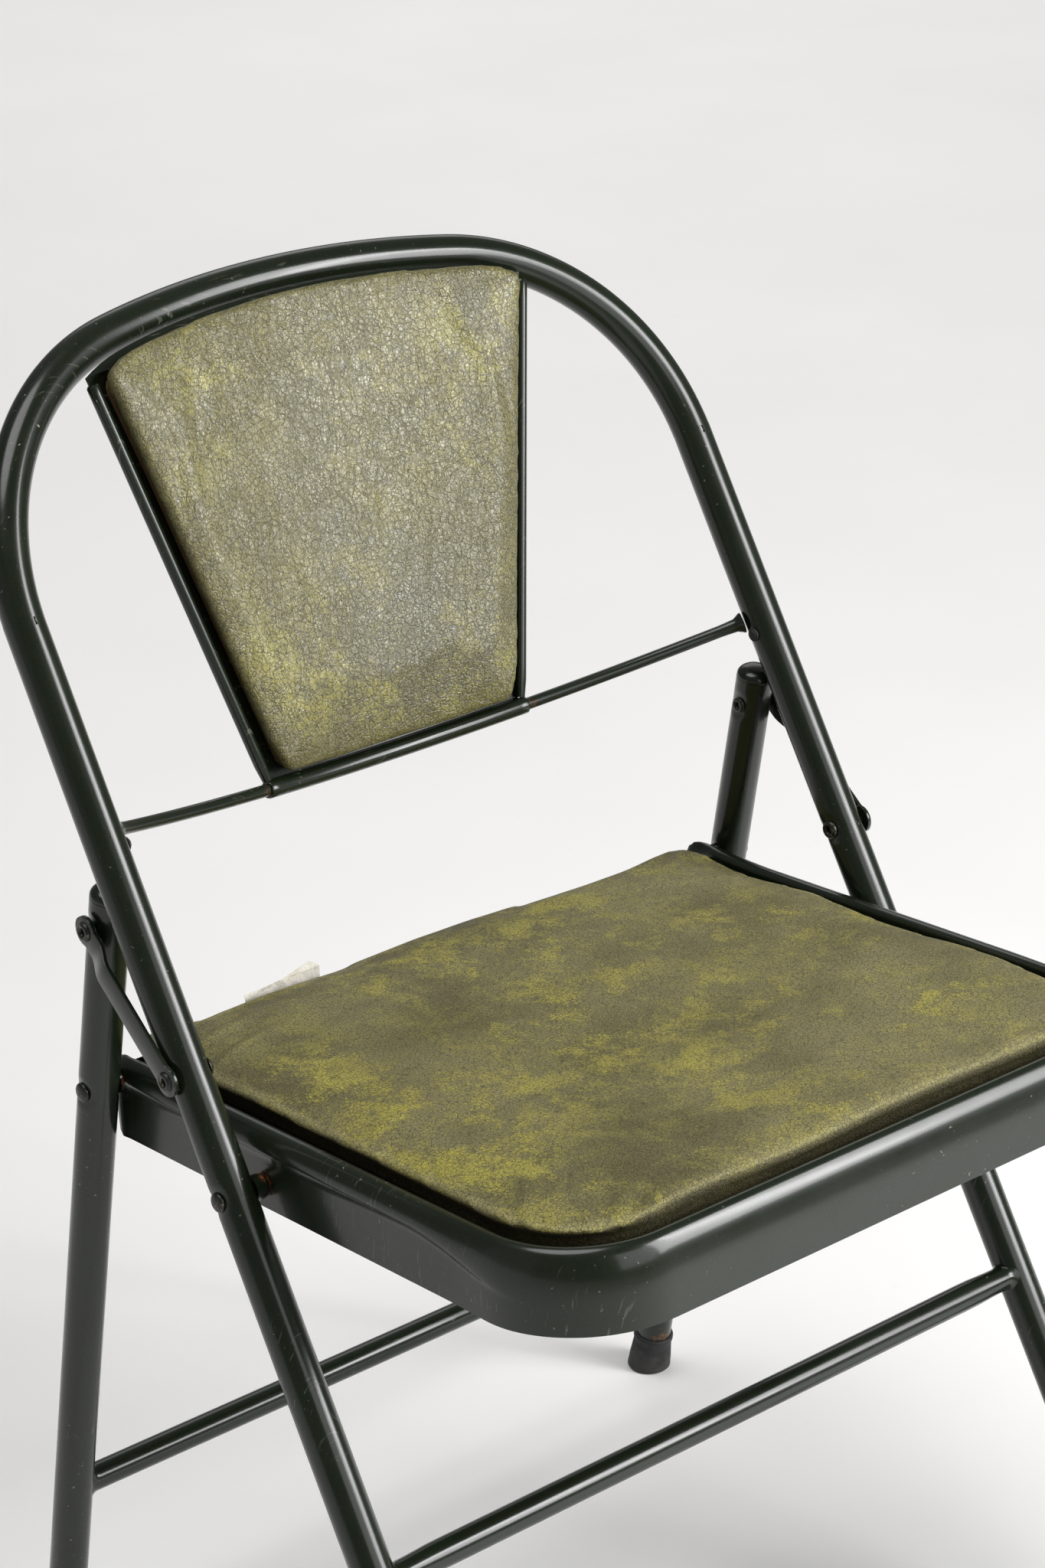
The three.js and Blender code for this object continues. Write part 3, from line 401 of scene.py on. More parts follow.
class Shape:
    """Points and faces of one piece, gathered from one or more lofts."""

    def __init__(self):
        self.points = []
        self.faces = []

    def loft(self, rings, capped=True, joined=False):
        """Skins a stack of rings with equal point counts. joined closes the stack on itself."""
        start = len(self.points)
        count = len(rings[0])
        self.points += [tuple(point) for row in rings for point in row]
        spans = len(rings) if joined else len(rings) - 1
        for row in range(spans):
            here, there = start + row * count, start + (row + 1) % len(rings) * count
            for i in range(count):
                j = (i + 1) % count
                self.faces.append((here + i, here + j, there + j, there + i))
        if capped and not joined:
            for row in (0, len(rings) - 1):
                self.fan(start + row * count, rings[row])
        return self

    def fan(self, first, row):
        centre = sum((Vector(point) for point in row), Vector()) / len(row)
        self.points.append(tuple(centre))
        middle = len(self.points) - 1
        for i in range(len(row)):
            self.faces.append((first + i, first + (i + 1) % len(row), middle))

    def piece(self, name, place, sharp=38):
        """The shape as an object in the frame `place`, with crisp edges above sharp degrees."""
        mesh = bpy.data.meshes.new(name)
        mesh.from_pydata([place @ Vector(point) for point in self.points], [], self.faces)
        surface = bmesh.new()
        surface.from_mesh(mesh)
        bmesh.ops.remove_doubles(surface, verts=surface.verts, dist=0.01 * MM)
        bmesh.ops.recalc_face_normals(surface, faces=surface.faces)
        surface.to_mesh(mesh)
        surface.free()
        mesh.shade_smooth()
        mesh.set_sharp_from_angle(angle=radians(sharp))
        return added(name, mesh)


def cover(piece, material):
    """Makes this the piece's only material."""
    piece.data.materials.clear()
    piece.data.materials.append(material)


def dress(piece, material, slot, body, *nodes):
    """Gives a finished piece its material and its body, and hides the CAD nodes it stands for. slot is not
    used.
    """
    cover(piece, material)
    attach(piece, body)
    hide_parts(*nodes)


def coordinates(piece):
    values = np.empty(len(piece.data.vertices) * 3)
    piece.data.vertices.foreach_get("co", values)
    return values.reshape(-1, 3)


def points_in(place, points):
    """World points, one to a row, in the millimetres of the frame `place`."""
    inverse = np.array(place.inverted())
    return points @ inverse[:3, :3].T + inverse[:3, 3]


def paint(piece, **layers):
    """Stores a value from 0 to 1 per point in each named attribute."""
    for name, values in layers.items():
        layer = piece.data.attributes.new(name, "FLOAT", "POINT")
        layer.data.foreach_set("value", np.asarray(values, np.float32))


def enamelled(piece, place, body, node, **marks):
    """Dresses a painted steel piece. Each of marks, rust or worn, lists soft round spots for that
    attribute as ((x, y, z), radius, strength), in the frame `place`."""
    points = coordinates(piece)
    for name, spots in marks.items():
        total = np.zeros(len(points))
        for centre, radius, strength in spots:
            away = np.linalg.norm(points - np.array(place @ Vector(centre)), axis=1) / (radius * MM)
            total = np.maximum(total, strength * np.clip(1 - away, 0, 1) ** 0.7)
        paint(piece, **{name: total})
    dress(piece, ENAMEL, "enamel", body, node)


# ---- back frame ----
def leg_half(up):
    return PIVOT_HALF - LEG_TAPER * up


ARCH_HALF = leg_half(ARCH_TOP - CORNER_RADIUS)
SHOULDER_X = ARCH_HALF - CORNER_RADIUS
CROWN_ANGLE = asin(SHOULDER_X / (ARCH_RADIUS - CORNER_RADIUS))
SHOULDER_UP = ARCH_TOP - ARCH_RADIUS + (ARCH_RADIUS - CORNER_RADIUS) * cos(CROWN_ANGLE)
LINK_LOWER = (HINGES["link_left_swing"] - HINGES["seat_fold"]).length / MM
TUBE_SIDES = 48
DIMPLE = 0.9


def arch_bow(x):
    return ARCH_BOW * max(0, 1 - (x / ARCH_HALF) ** 2) ** 1.6


def arch_up(x):
    across = abs(x)
    if across < ARCH_RADIUS * sin(CROWN_ANGLE):
        return ARCH_TOP - ARCH_RADIUS + sqrt(ARCH_RADIUS**2 - across**2)
    return SHOULDER_UP + sqrt(max(0, CORNER_RADIUS**2 - (across - SHOULDER_X) ** 2))


def heights_round(rivets, low, high):
    """Heights along a tube, 12 mm apart, and 1.5 mm apart round its rivets."""
    dense = [rivet + step * 1.5 for rivet in rivets for step in range(-9, 10)]
    plain = spread(low, high, round((high - low) / 12))
    return sorted(dense + [up for up in plain if all(abs(up - rivet) > 15 for rivet in rivets)])


def dimpled(rings, rivets, axis_x):
    """Presses small flats into a leg's tube where the rivets clamp it."""
    for row in rings:
        for point in row:
            for up in rivets:
                away = hypot(point.y, point.z - up)
                press = DIMPLE * (1 - smooth(away, 5, 10))
                point.x -= copysign(press, point.x - axis_x(up) * copysign(1, point.x))
    return rings


def back_frame():
    rivets = [0, LINK_LOWER]
    heights = heights_round(rivets, FRONT_LEG_END, ARCH_TOP - CORNER_RADIUS - 4)
    right = [(leg_half(up), 0, up) for up in heights]
    for angle in spread(0, pi / 2 - CROWN_ANGLE, 44):
        x = SHOULDER_X + CORNER_RADIUS * cos(angle)
        right.append((x, arch_bow(x), SHOULDER_UP + CORNER_RADIUS * sin(angle)))
    for angle in spread(CROWN_ANGLE, 0, 14)[1:-1]:
        x = ARCH_RADIUS * sin(angle)
        right.append((x, arch_bow(x), arch_up(x)))
    left = [(-x, y, z) for x, y, z in reversed(right)]
    rings = swept([*right, (0, ARCH_BOW, ARCH_TOP), *left], TUBE, TUBE_SIDES)
    piece = Shape().loft(dimpled(rings, rivets, leg_half)).piece("back_frame", BACK)
    worn = [
        ((-200, 6, 400), 90, 1), ((-90, 14, 455), 60, 0.8), ((60, 16, 458), 50, 0.5),
        ((-231, 0, 130), 60, 0.7), ((-232, 0, 40), 60, 0.8), ((231, 0, 60), 50, 0.7),
        ((228, 0, 300), 60, 0.4),
    ]
    rust = [
        ((-233, 6, 300), 26, 0.5), ((-235, -9, -70), 60, 0.42), ((-236, -6, -150), 70, 0.36),
        ((228, -9, 250), 70, 0.34), ((190, -4, 400), 60, 0.32), ((-222, 4, 2), 16, 0.5),
        ((222, 4, 2), 16, 0.5),
    ]
    enamelled(piece, BACK, "frame", "back_frame_tube", rust=rust, worn=worn)


def stretcher(name, half_at, up, place, body, crimp):
    """A stretcher tube brazed between two legs. crimp flattens its ends, from 0 to 1."""
    flares = {1.8: 0.35, 0.8: 1, 0: 2}

    def end_rings(side):
        rows = []
        for inset in (70, 34, 24, 17, 12, 8, 5, 3.2, *flares):
            radius = STRETCHER + flares.get(inset, 0)
            flat = crimp * (1 - smooth(inset, 6, 30))
            wide, high = radius * (1 + 0.1 * flat), radius * (1 - 0.2 * flat)
            row = []
            for angle in turns(40):
                y, z = wide * cos(angle), high * sin(angle)
                contact = half_at(up) - sqrt(TUBE**2 - min(abs(y), TUBE - 0.5) ** 2) + 0.4
                row.append(Vector((side * (contact - inset), y, up + z)))
            rows.append(row)
        return rows

    rings = [*reversed(end_rings(-1)), *end_rings(1)]
    piece = Shape().loft(rings).piece(name, place)
    half = half_at(up)
    rust = [((side * (half - 10), 0, up), 15, 0.5) for side in SIDES.values()]
    rust.append(((-half + 42, 0, up), 22, 0.45))
    worn = [((half - 20, 0, up), 24, 0.9), ((40, -6, up + 4), 60, 0.4)]
    enamelled(piece, place, body, name, rust=rust, worn=worn)


CROSSBAR_RADIUS = (leg_half(CROSSBAR_HEIGHT) ** 2 + CROSSBAR_BOW**2) / (2 * CROSSBAR_BOW)


def crossbar_point(x):
    depth = CROSSBAR_BOW - CROSSBAR_RADIUS + sqrt(CROSSBAR_RADIUS**2 - x**2)
    return Vector((x, depth, CROSSBAR_HEIGHT - CROSSBAR_DROOP * depth))


def back_crossbar():
    reach = leg_half(CROSSBAR_HEIGHT) - TUBE + 0.6
    left = [-reach + inset for inset in (0, 0.8, 2, 4, 7, 12)]
    stations = [*left, *spread(-reach + 18, reach - 18, 90), *[-x for x in reversed(left)]]

    def radius(i):
        inset = reach - abs(stations[i])
        return ROD + 2.2 * (1 - smooth(inset, 0, 4)) + 0.5 * (1 - smooth(inset, 2, 12))

    rings = swept([crossbar_point(x) for x in stations], radius, 24)
    piece = Shape().loft(rings).piece("back_crossbar", BACK)
    rust = [(crossbar_point(side * (SLEEVE_HALF + 2)), 9, 0.75) for side in SIDES.values()]
    rust.append((crossbar_point(reach - 8), 12, 0.4))
    enamelled(piece, BACK, "frame", "back_crossbar", rust=rust)


# ---- back pan and pad ----
PAN_BASE = crossbar_point(SLEEVE_HALF).z


def pan_share(up):
    return (up - PAN_BASE) / PAN_HEIGHT


def pan_value(up, key):
    return lerp(PAN_BOTTOM[key], PAN_TOP[key], pan_share(up))


def pan_point(x, up, forward):
    bow = pan_value(up, "bow") * (1 - (x / pan_value(up, "half")) ** 2)
    return Vector((x, pan_value(up, "depth") + bow - forward, up))


def pan_top(x):
    return arch_up(x) - 10 - 3 * (x / PAN_TOP["half"]) ** 2


def back_pan():
    """Pressed sheet with rolled side edges, rolled round the crossbar at the bottom."""
    columns, rows = 40, 30
    shape = Shape()
    loops = []
    for share in spread(0, 1, rows):
        front, rear = [], []
        for across in spread(-1, 1, columns):
            up = lerp(PAN_BASE, pan_top(across * PAN_TOP["half"]), share)
            x = across * pan_value(up, "half")
            press = 1.6 * smooth(1 - abs(across), 0.06, 0.13)
            press = press * smooth(share, 0.05, 0.11) * smooth(1 - share, 0.04, 0.1) * 0.25
            front.append(pan_point(x, up, SHEET / 2 - press))
            rear.append(pan_point(x, up, -SHEET / 2 - press))
        loops.append([*front, *reversed(rear)])
    shape.loft(loops)
    for side in SIDES.values():
        ups = [*spread(PAN_BASE + 5, PAN_BASE + PAN_HEIGHT - 1, 24), PAN_BASE + PAN_HEIGHT]
        path = [(side * pan_value(up, "half"), pan_value(up, "depth") - 3, up) for up in ups]
        shape.loft(swept(path, lambda i: BEAD - (0.8 if i in (0, len(ups) - 1) else 0), 24))
    inner = spread(-SLEEVE_HALF + 0.8, SLEEVE_HALF - 0.8, 40)
    sleeve = [crossbar_point(x) for x in (-SLEEVE_HALF, *inner, SLEEVE_HALF)]
    shape.loft(swept(sleeve, lambda i: ROD + 1.5 - (0.5 if i in (0, len(sleeve) - 1) else 0), 28))
    piece = shape.piece("back_pan", BACK)
    rust = [(crossbar_point(side * SLEEVE_HALF), 9, 0.62) for side in SIDES.values()]
    enamelled(piece, BACK, "frame", "back_pan", rust=rust)


PAD = {"bottom": 200.5, "half": 82, "slope": 0.262, "corner_up": 427, "top_gap": 13.5, "corner": 8}


def back_pad_outline():
    """Outline of the back pad seen square to the frame, as (x, up), anticlockwise."""
    lean = atan(PAD["slope"])
    corner = PAD["corner"]

    def half(up):
        return PAD["half"] + PAD["slope"] * (up - PAD["bottom"])

    def arc(x, up, start, end, steps):
        return [(x + corner * cos(a), up + corner * sin(a)) for a in spread(start, end, steps)]

    top_x = half(PAD["corner_up"]) - corner - 1
    right = arc(half(PAD["bottom"]) - corner, PAD["bottom"] + corner, -pi / 2, -lean, 7)
    right += [(half(up), up) for up in spread(PAD["bottom"] + 18, PAD["corner_up"] - 12, 46)]
    right += arc(top_x, PAD["corner_up"] - corner + 1, -lean, pi / 3, 7)
    top = [(x, arch_up(x) - PAD["top_gap"] - 0.012 * abs(x)) for x in spread(top_x, -top_x, 54)[1:-1]]
    left = [(-x, up) for x, up in reversed(right)]
    bottom = [(x, PAD["bottom"]) for x in spread(left[-1][0], right[0][0], 34)[1:-1]]
    return right + top + left + bottom


def layered(outline, base, levels, place):
    """Rings of an outline. A level is (shrink, height over base): shrink below 1 scales the outline,
    and 1 + d pulls it in by d mm."""
    centre = sum((Vector(point) for point in outline), Vector((0, 0))) / len(outline)
    rings = []
    for shrink, height in levels:
        row = []
        for point in outline:
            away = Vector(point) - centre
            scale = shrink if shrink < 1 else 1 - (shrink - 1) / away.length
            x, y = centre + away * scale
            row.append(place(x, y, base + height))
        rings.append(row)
    return rings


def bake_modifiers(piece):
    """Replaces the piece's mesh by what its modifiers make of it."""
    graph = bpy.context.evaluated_depsgraph_get()
    mesh = bpy.data.meshes.new_from_object(piece.evaluated_get(graph))
    piece.modifiers.clear()
    piece.data = mesh


def inflate(piece, inward, depth, cap, voxel):
    """Remeshes a pad, blows it up by cloth simulation with its back held, and caps the movement.

    inward(points) gives each point's height over the pad's back in mm; below depth it is held."""
    mould = added("mould", piece.data.copy())
    remesh = piece.modifiers.new("remesh", "REMESH")
    remesh.mode = "VOXEL"
    remesh.voxel_size = voxel * MM
    piece.modifiers.new("snap", "SHRINKWRAP").target = mould
    bake_modifiers(piece)
    bpy.data.objects.remove(mould)
    rest = coordinates(piece)
    held = piece.vertex_groups.new(name="held")
    low = np.nonzero(inward(rest) < depth)[0]
    held.add([int(i) for i in low], 1.0, "REPLACE")
    cloth = piece.modifiers.new("cloth", "CLOTH")
    cloth.settings.quality = 6
    cloth.settings.mass = 0.3
    cloth.settings.tension_stiffness = 12
    cloth.settings.compression_stiffness = 8
    cloth.settings.bending_stiffness = 0.3
    cloth.settings.use_pressure = True
    cloth.settings.uniform_pressure_force = 4
    cloth.settings.vertex_group_mass = "held"
    cloth.settings.effector_weights.gravity = 0
    cloth.collision_settings.use_collision = False
    scene = bpy.context.scene
    for number in range(1, 21):
        scene.frame_set(number)
    bake_modifiers(piece)
    scene.frame_set(1)
    moved = coordinates(piece) - rest
    length = np.linalg.norm(moved, axis=1, keepdims=True)
    moved *= np.minimum(1, cap * MM / np.maximum(length, 1e-9))
    piece.data.vertices.foreach_set("co", (rest + moved).ravel())
    piece.vertex_groups.clear()


def subdivided(piece):
    subdivision = piece.modifiers.new("subdivision", "SUBSURF")
    subdivision.levels = 1
    subdivision.render_levels = 1
    bake_modifiers(piece)
    piece.data.shade_smooth()


def reshape(piece, place, move):
    """Moves each point of a piece, given and returned in the frame `place`."""
    back = place.inverted()
    for vertex in piece.data.vertices:
        vertex.co = place @ move(back @ vertex.co)
    piece.data.update()


def crease(x, y, start, end, width):
    """1 on the line from start to end, falling to 0 at width from it and towards its ends."""
    along_x, along_y = end[0] - start[0], end[1] - start[1]
    length = hypot(along_x, along_y)
    share = ((x - start[0]) * along_x + (y - start[1]) * along_y) / length**2
    off = abs((x - start[0]) * along_y - (y - start[1]) * along_x) / length
    if share <= 0 or share >= 1 or off >= width:
        return 0
    return sin(pi * share) * (1 - smooth(off, 0, width))


def creased(x, y, creases):
    return sum(height * crease(x, y, start, end, width) for start, end, width, height in creases)


def wobble(x, y, seed):
    """A smooth noise, from -1 to 1."""
    return noise.noise(Vector((x, y, seed)))


BACK_PAD_BACK = SHEET / 2 + CURVED_GAP + BACK_BOARD + CURVED_GAP
BACK_CREASES = [
    ((22, 262), (34, 322), 3.2, 1.1), ((30, 250), (46, 312), 3, 1.3), ((41, 246), (55, 300), 2.6, 1.1),
    ((52, 240), (66, 306), 3, 1.2), ((62, 252), (78, 300), 2.6, 0.9), ((14, 300), (24, 346), 3, 0.8),
    ((36, 292), (52, 340), 2.6, 0.8), ((70, 262), (84, 316), 2.4, 0.8), ((8, 258), (16, 296), 2.6, 0.6),
    ((48, 226), (58, 262), 2.8, 0.8), ((-62, 330), (-50, 372), 3, 0.5), ((-20, 348), (-8, 392), 3, 0.5),
]


def back_pad():
    back = BACK_PAD_BACK
    levels = [
        (0.2, 0), (0.5, 0), (0.8, 0), (6, 0), (3, 1), (1.6, 3), (1, 7), (1.5, 9), (3.4, 10.6), (7, 11.4),
        (14, 11.9), (0.7, 12.4), (0.4, 12.8), (0.2, 13),
    ]
    rings = layered(back_pad_outline(), back, levels, pan_point)
    piece = Shape().loft(rings).piece("back_pad_cover", BACK)

    def over_back(points):
        x, y, up = points_in(BACK, points).T
        bow = pan_value(up, "bow") * (1 - (x / pan_value(up, "half")) ** 2)
        return pan_value(up, "depth") + bow - y - back

    inflate(piece, over_back, 8, 3.4, 3.6)
    subdivided(piece)

    def wrinkled(point):
        x, up = point.x, point.z
        front = smooth(pan_point(x, up, back).y - point.y, 4, 9)
        rumple = wobble(x / 30, up / 60, 3) * 0.3 + wobble(x / 9, up / 20, 7) * 0.14
        point.y += front * (0.42 * creased(x, up, BACK_CREASES) - rumple)
        return point

    reshape(piece, BACK, wrinkled)
    x, _, up = points_in(BACK, coordinates(piece)).T
    half = PAD["half"] + PAD["slope"] * (up - PAD["bottom"])
    top = np.array([arch_up(value) - PAD["top_gap"] for value in x])
    inside = np.minimum.reduce([half - np.abs(x), up - PAD["bottom"], top - up])
    # the back pad gets no painted highlight along its edge
    paint(piece, edge=np.clip(1 - inside / 16, 0, 1) ** 1.3 * 0.85, hem=np.zeros(len(x)))
    dress(piece, BACK_VINYL, "vinyl", "frame", "back_pad")


# ---- seat pan ----
def seat_loop(inset):
    """Stations round the seat pan pulled in by inset, anticlockwise from the rear right."""
    half, front, rear = SEAT_HALF - inset, SEAT_FRONT + inset, SEAT_REAR - inset
    small = max(1, SEAT_REAR_CORNER - inset)
    large = SEAT_CORNER - inset

    def corner(x, y, radius, start, steps):
        turns = spread(start, start + pi / 2, steps)
        return [(x + radius * cos(a), y + radius * sin(a)) for a in turns]

    quarter = pi / 2
    sides = spread(rear - small - 2, SEAT_FRONT + SEAT_CORNER + 6, 60)
    return [
        *corner(half - small, rear - small, small, 0, 7),
        *[(x, rear) for x in spread(196, -196, 24)],
        *corner(small - half, rear - small, small, quarter, 7),
        *[(-half, y) for y in sides],
        *corner(large - half, front + large, large, 2 * quarter, 26),
        *[(x, front) for x in spread(-146, 146, 24)],
        *corner(half - large, front + large, large, 3 * quarter, 26),
        *[(half, y) for y in reversed(sides)],
    ]


def rim_share(x, y):
    """1 where the pan has its raised rim, 0 along the open rear edge."""
    return 1 - smooth(y, 114, 126) * (1 - smooth(abs(x), 199, 207))


def skirt_bottom(y):
    return lerp(SKIRT_BOTTOM, 3, smooth(y, 130, 139))


def rise(y):
    """How far the rim stands up towards its rear ends."""
    return 2.5 * smooth(y, 70, 135)


def seat_pan():
    """Pressed tray: a lip, a rolled rim, a skirt set in along the sides and full-round in front."""
    shape = Shape()
    base = seat_loop(0)

    def row(inset, height, floor):
        """height may be a function of y on the outer outline."""
        made = []
        for (x, y), (_, edge_y) in zip(seat_loop(inset), base):
            level = height(edge_y) if callable(height) else height
            level += rise(edge_y) * (level > PAN_FLOOR + 6)
            made.append(Vector((x, y, lerp(floor, level, rim_share(x, y)))))
        return made

    def drop(y):
        """How far down the rolled edge reaches: short along the sides, deep round the front."""
        return lerp(RIM, 27, smooth(-y, 120, 222))

    def set_in(y):
        return 1.7 * (1 - smooth(-y, 150, 205)) * smooth(135 - y, 0, 12)

    def skin(offset, floor):
        """One face of the sheet, from the floor over the rim to the skirt's lower edge. offset is inwards.
        """
        rows = []
        edge = RIM + LIP
        for shrink in (0.25, 0.6, 0.9):
            middle = (1 - shrink) * -51
            rows.append([Vector((x * shrink, y * shrink + middle, floor)) for x, y in seat_loop(edge)])
        lip = ((edge + 4, floor), (edge + 1.2, floor + 0.4), (edge, floor + 2), (edge, RIM_TOP - LIP))
        rows += [row(inset - offset, height, floor) for inset, height in lip]
        for angle in spread(0, pi / 2, 6)[1:]:
            inset = RIM + (LIP - offset) * cos(angle)
            rows.append(row(inset, RIM_TOP - LIP + (LIP - offset) * sin(angle), floor))
        for angle in spread(pi / 2, 0, 12)[1:]:
            inset = RIM - (RIM - offset) * cos(angle)
            down = 1 - sin(angle)
            rows.append(row(inset, lambda y, s=down: RIM_TOP - offset - (drop(y) - offset) * s, floor))
        for share in (0.04, 0.1, 0.2, 0.35, 0.5, 0.65, 0.8, 0.92, 1):
            inward = smooth(share, 0, 0.12)
            made = []
            for (x, y), (_, edge_y) in zip(seat_loop(offset), base):
                level = lerp(RIM_TOP - drop(edge_y) + rise(edge_y), skirt_bottom(edge_y), share)
                shift = copysign(set_in(edge_y) * inward, x) if abs(x) > 150 else 0
                made.append(Vector((x - shift, y, level)))
            rows.append(made)
        return rows

    inside = skin(SHEET, PAN_FLOOR - SHEET)
    outside = skin(0, PAN_FLOOR)
    shape.loft([*inside, *reversed(outside)])
    piece = shape.piece("seat_tray", SEAT, 50)
    rust = [
        ((-214, 0, 0), 17, 0.75), ((214, 0, 0), 17, 0.6), ((-60, -244, -12), 24, 0.42),
        ((-212, 126, 20), 14, 0.4), ((-205, -120, 27), 16, 0.34), ((120, -243, -12), 22, 0.36),
    ]
    worn = [((-150, -225, 28), 60, 0.7), ((150, -238, 26), 80, 0.5), ((40, -242, 12), 60, 0.6)]
    enamelled(piece, SEAT, "seat", "seat_pan", rust=rust, worn=worn)


# ---- seat pad ----
SEAT_PAD_BACK = PAN_FLOOR + FLAT_GAP + SEAT_BOARD + FLAT_GAP


def rounded_outline(corners, arc_steps, edge_step):
    """A polygon's outline, each corner (x, y, radius) rounded, with even steps between."""
    arcs = []
    for i, (x, y, radius) in enumerate(corners):
        here = Vector((x, y))
        before = (Vector(corners[i - 1][:2]) - here).normalized()
        after = (Vector(corners[(i + 1) % len(corners)][:2]) - here).normalized()
        half = acos(max(-1, min(1, before.dot(after)))) / 2
        centre = here + (before + after).normalized() * (radius / sin(half))
        start = here + before * (radius / tan(half))
        end = here + after * (radius / tan(half))
        chord = [start.lerp(end, share) for share in spread(0, 1, arc_steps)]
        arcs.append([centre + (point - centre).normalized() * radius for point in chord])
    points = []
    for i, arc in enumerate(arcs):
        points += arc
        target = arcs[(i + 1) % len(arcs)][0]
        steps = max(1, round((target - arc[-1]).length / edge_step))
        points += [arc[-1].lerp(target, t) for t in spread(0, 1, steps)[1:-1]]
    return points


# height of the seat pad's top edge over its back: a highlight is painted along it and shade is painted below
# it
PAD_EDGE_HEIGHT = 17.2
SEAT_PAD_CORNERS = [(-198, 141, 9), (-200, -227, 57), (191, -227, 57), (191, -40, 60), (200.5, 135, 22)]
SEAT_CREASES = [
    ((-196, 96), (-120, 112), 6, 1.4), ((-194, 74), (-128, 88), 5, 1.1), ((-196, 120), (-140, 128), 5, 1),
    ((150, 96), (60, 124), 7, 1), ((160, 78), (96, 108), 6, 0.8), ((190, 60), (150, 92), 5, 0.9),
    ((186, 20), (150, 30), 6, 0.8), ((184, -30), (146, -22), 6, 0.7), ((-198, -60), (-150, -50), 6, 0.5),
]


def seat_pad():
    bottom = SEAT_PAD_BACK
    levels = [
        (0.2, 0), (0.5, 0), (0.8, 0), (12, 0), (10, 1), (9, 6), (8, 10.5), (4, 13.5), (1.8, 15), (1.8, 16),
        (2.2, 17.4), (4.5, 18.4), (0.85, 18.9), (0.6, 19.3), (0.3, 19.6),
    ]
    outline = rounded_outline(SEAT_PAD_CORNERS, 16, 4)
    rings = layered(outline, bottom, levels, lambda x, y, z: Vector((x, y, z)))
    piece = Shape().loft(rings).piece("seat_pad_cover", SEAT)

    def over_bottom(points):
        return points_in(SEAT, points)[:, 2] - bottom

    inflate(piece, over_bottom, 15, 3, 4)
    subdivided(piece)

    def settled(point):
        x, y = point.x, point.y
        top = smooth(point.z - bottom, 6, 14)
        corner = 1.8 * smooth(x, 150, 188) * smooth(y, 84, 124)
        corner -= 4.5 * smooth(x, 0, 190) * smooth(y, -60, 120)
        wave = 1.5 * sin(y / 21 + 1) * smooth(x, 150, 190)
        wave += 1.3 * sin(x / 24) * smooth(-y, 190, 222)
        lift = creased(x, y, SEAT_CREASES)
        ripple = wobble(x / 70, y / 46, 1) * 0.9 + wobble(x / 22, y / 12, 5) * 0.25
        sag = -2.2 * smooth(1 - hypot(x + 10, y + 60) / 150, 0, 1)
        point.z += top * (corner + 0.6 * wave + lift + ripple + sag)
        point.x += 0.9 * wave * smooth(x, 150, 190)
        return point

    height = over_bottom(coordinates(piece))
    # painted shade: the seat pad's side wall below its top edge is coloured dark
    side = np.clip((PAD_EDGE_HEIGHT - 1 - height) / 1.2, 0, 1) * 0.9
    # the last layer is a painted highlight: a pale band along the seat pad's top edge
    paint(piece, edge=side, hem=np.clip(1 - np.abs(height - PAD_EDGE_HEIGHT) / 1.1, 0, 1) * 0.65)
    reshape(piece, SEAT, settled)
    dress(piece, SEAT_VINYL, "vinyl", "seat", "seat_pad")


def seat_tag():
    """Blank crumpled paper tag, with a torn peak near its right end."""
    loops = []
    for share in spread(0, 1, 12):
        front, rear = [], []
        for along in spread(0, 1, 52):
            x = lerp(-120.5, -69.5, along)
            peak = 4.6 * max(0, 1 - abs(along - 0.88) / 0.12)
            top = lerp(35.2, 37.2, along) + peak + 0.5 * wobble(x / 5, 2, 0)
            height = lerp(13.5, top, share)
            crumple = 1.3 * wobble(x / 6, height / 5, 4) + 0.7 * share * sin(x / 3.4)
            y = SEAT_REAR - 0.8 + 0.7 * crumple
            front.append((x, y - 0.12, height))
            rear.append((x, y + 0.12, height))
        loops.append([*front, *reversed(rear)])
    dress(Shape().loft(loops).piece("paper_tag", SEAT, 60), PAPER, "paper", "seat", "seat_tag")


# ---- rivets, links, feet ----
RIVET = 3
HEAD = 5.4


def domed(radius, height):
    """Profile of a domed head from its rim to its crown, as (radius, height)."""
    angles = spread(0.15, pi / 2 - 0.02, 8)
    crown = [(radius * cos(a), 0.25 + (height - 0.25) * sin(a)) for a in angles]
    return [(radius, 0), (radius, 0.25), *crown]


def eyelet(radius, height, bore):
    """Profile of a rolled hollow head: a round bead with a hole sunk in its middle."""
    bead = (radius - bore) / 2
    middle = bore + bead
    angles = spread(0, pi, 12)
    crown = [(middle + bead * cos(a), 0.2 + (height - 0.2) * sin(a)) for a in angles]
    return [(radius, 0), *crown, (bore * 0.92, -0.4), (bore * 0.85, -1.8), (0.05, -1.9)]


def rivet(name, side, x_inner, x_outer, place, body, inner, outer, at=(0, 0)):
    """A rivet along X from an inner to an outer head, each a profile from its rim inwards."""
    profile = [(radius, x_inner - height) for radius, height in reversed(inner)]
    profile += [(RIVET, x_inner), (RIVET, x_outer)]
    profile += [(radius, x_outer + height) for radius, height in outer]
    y, z = at
    shape = Shape().loft(turned(profile, (side, 0, 0), (0, y, z)))
    dress(shape.piece(name + "_fine", place, 50), HARDWARE, "hardware", body, name)


LINK = {"thick": 2.5, "half": 6.8, "eye": 8.4, "set": 4}
LINK_INNER = leg_half(LINK_LOWER) + TUBE + 1.2


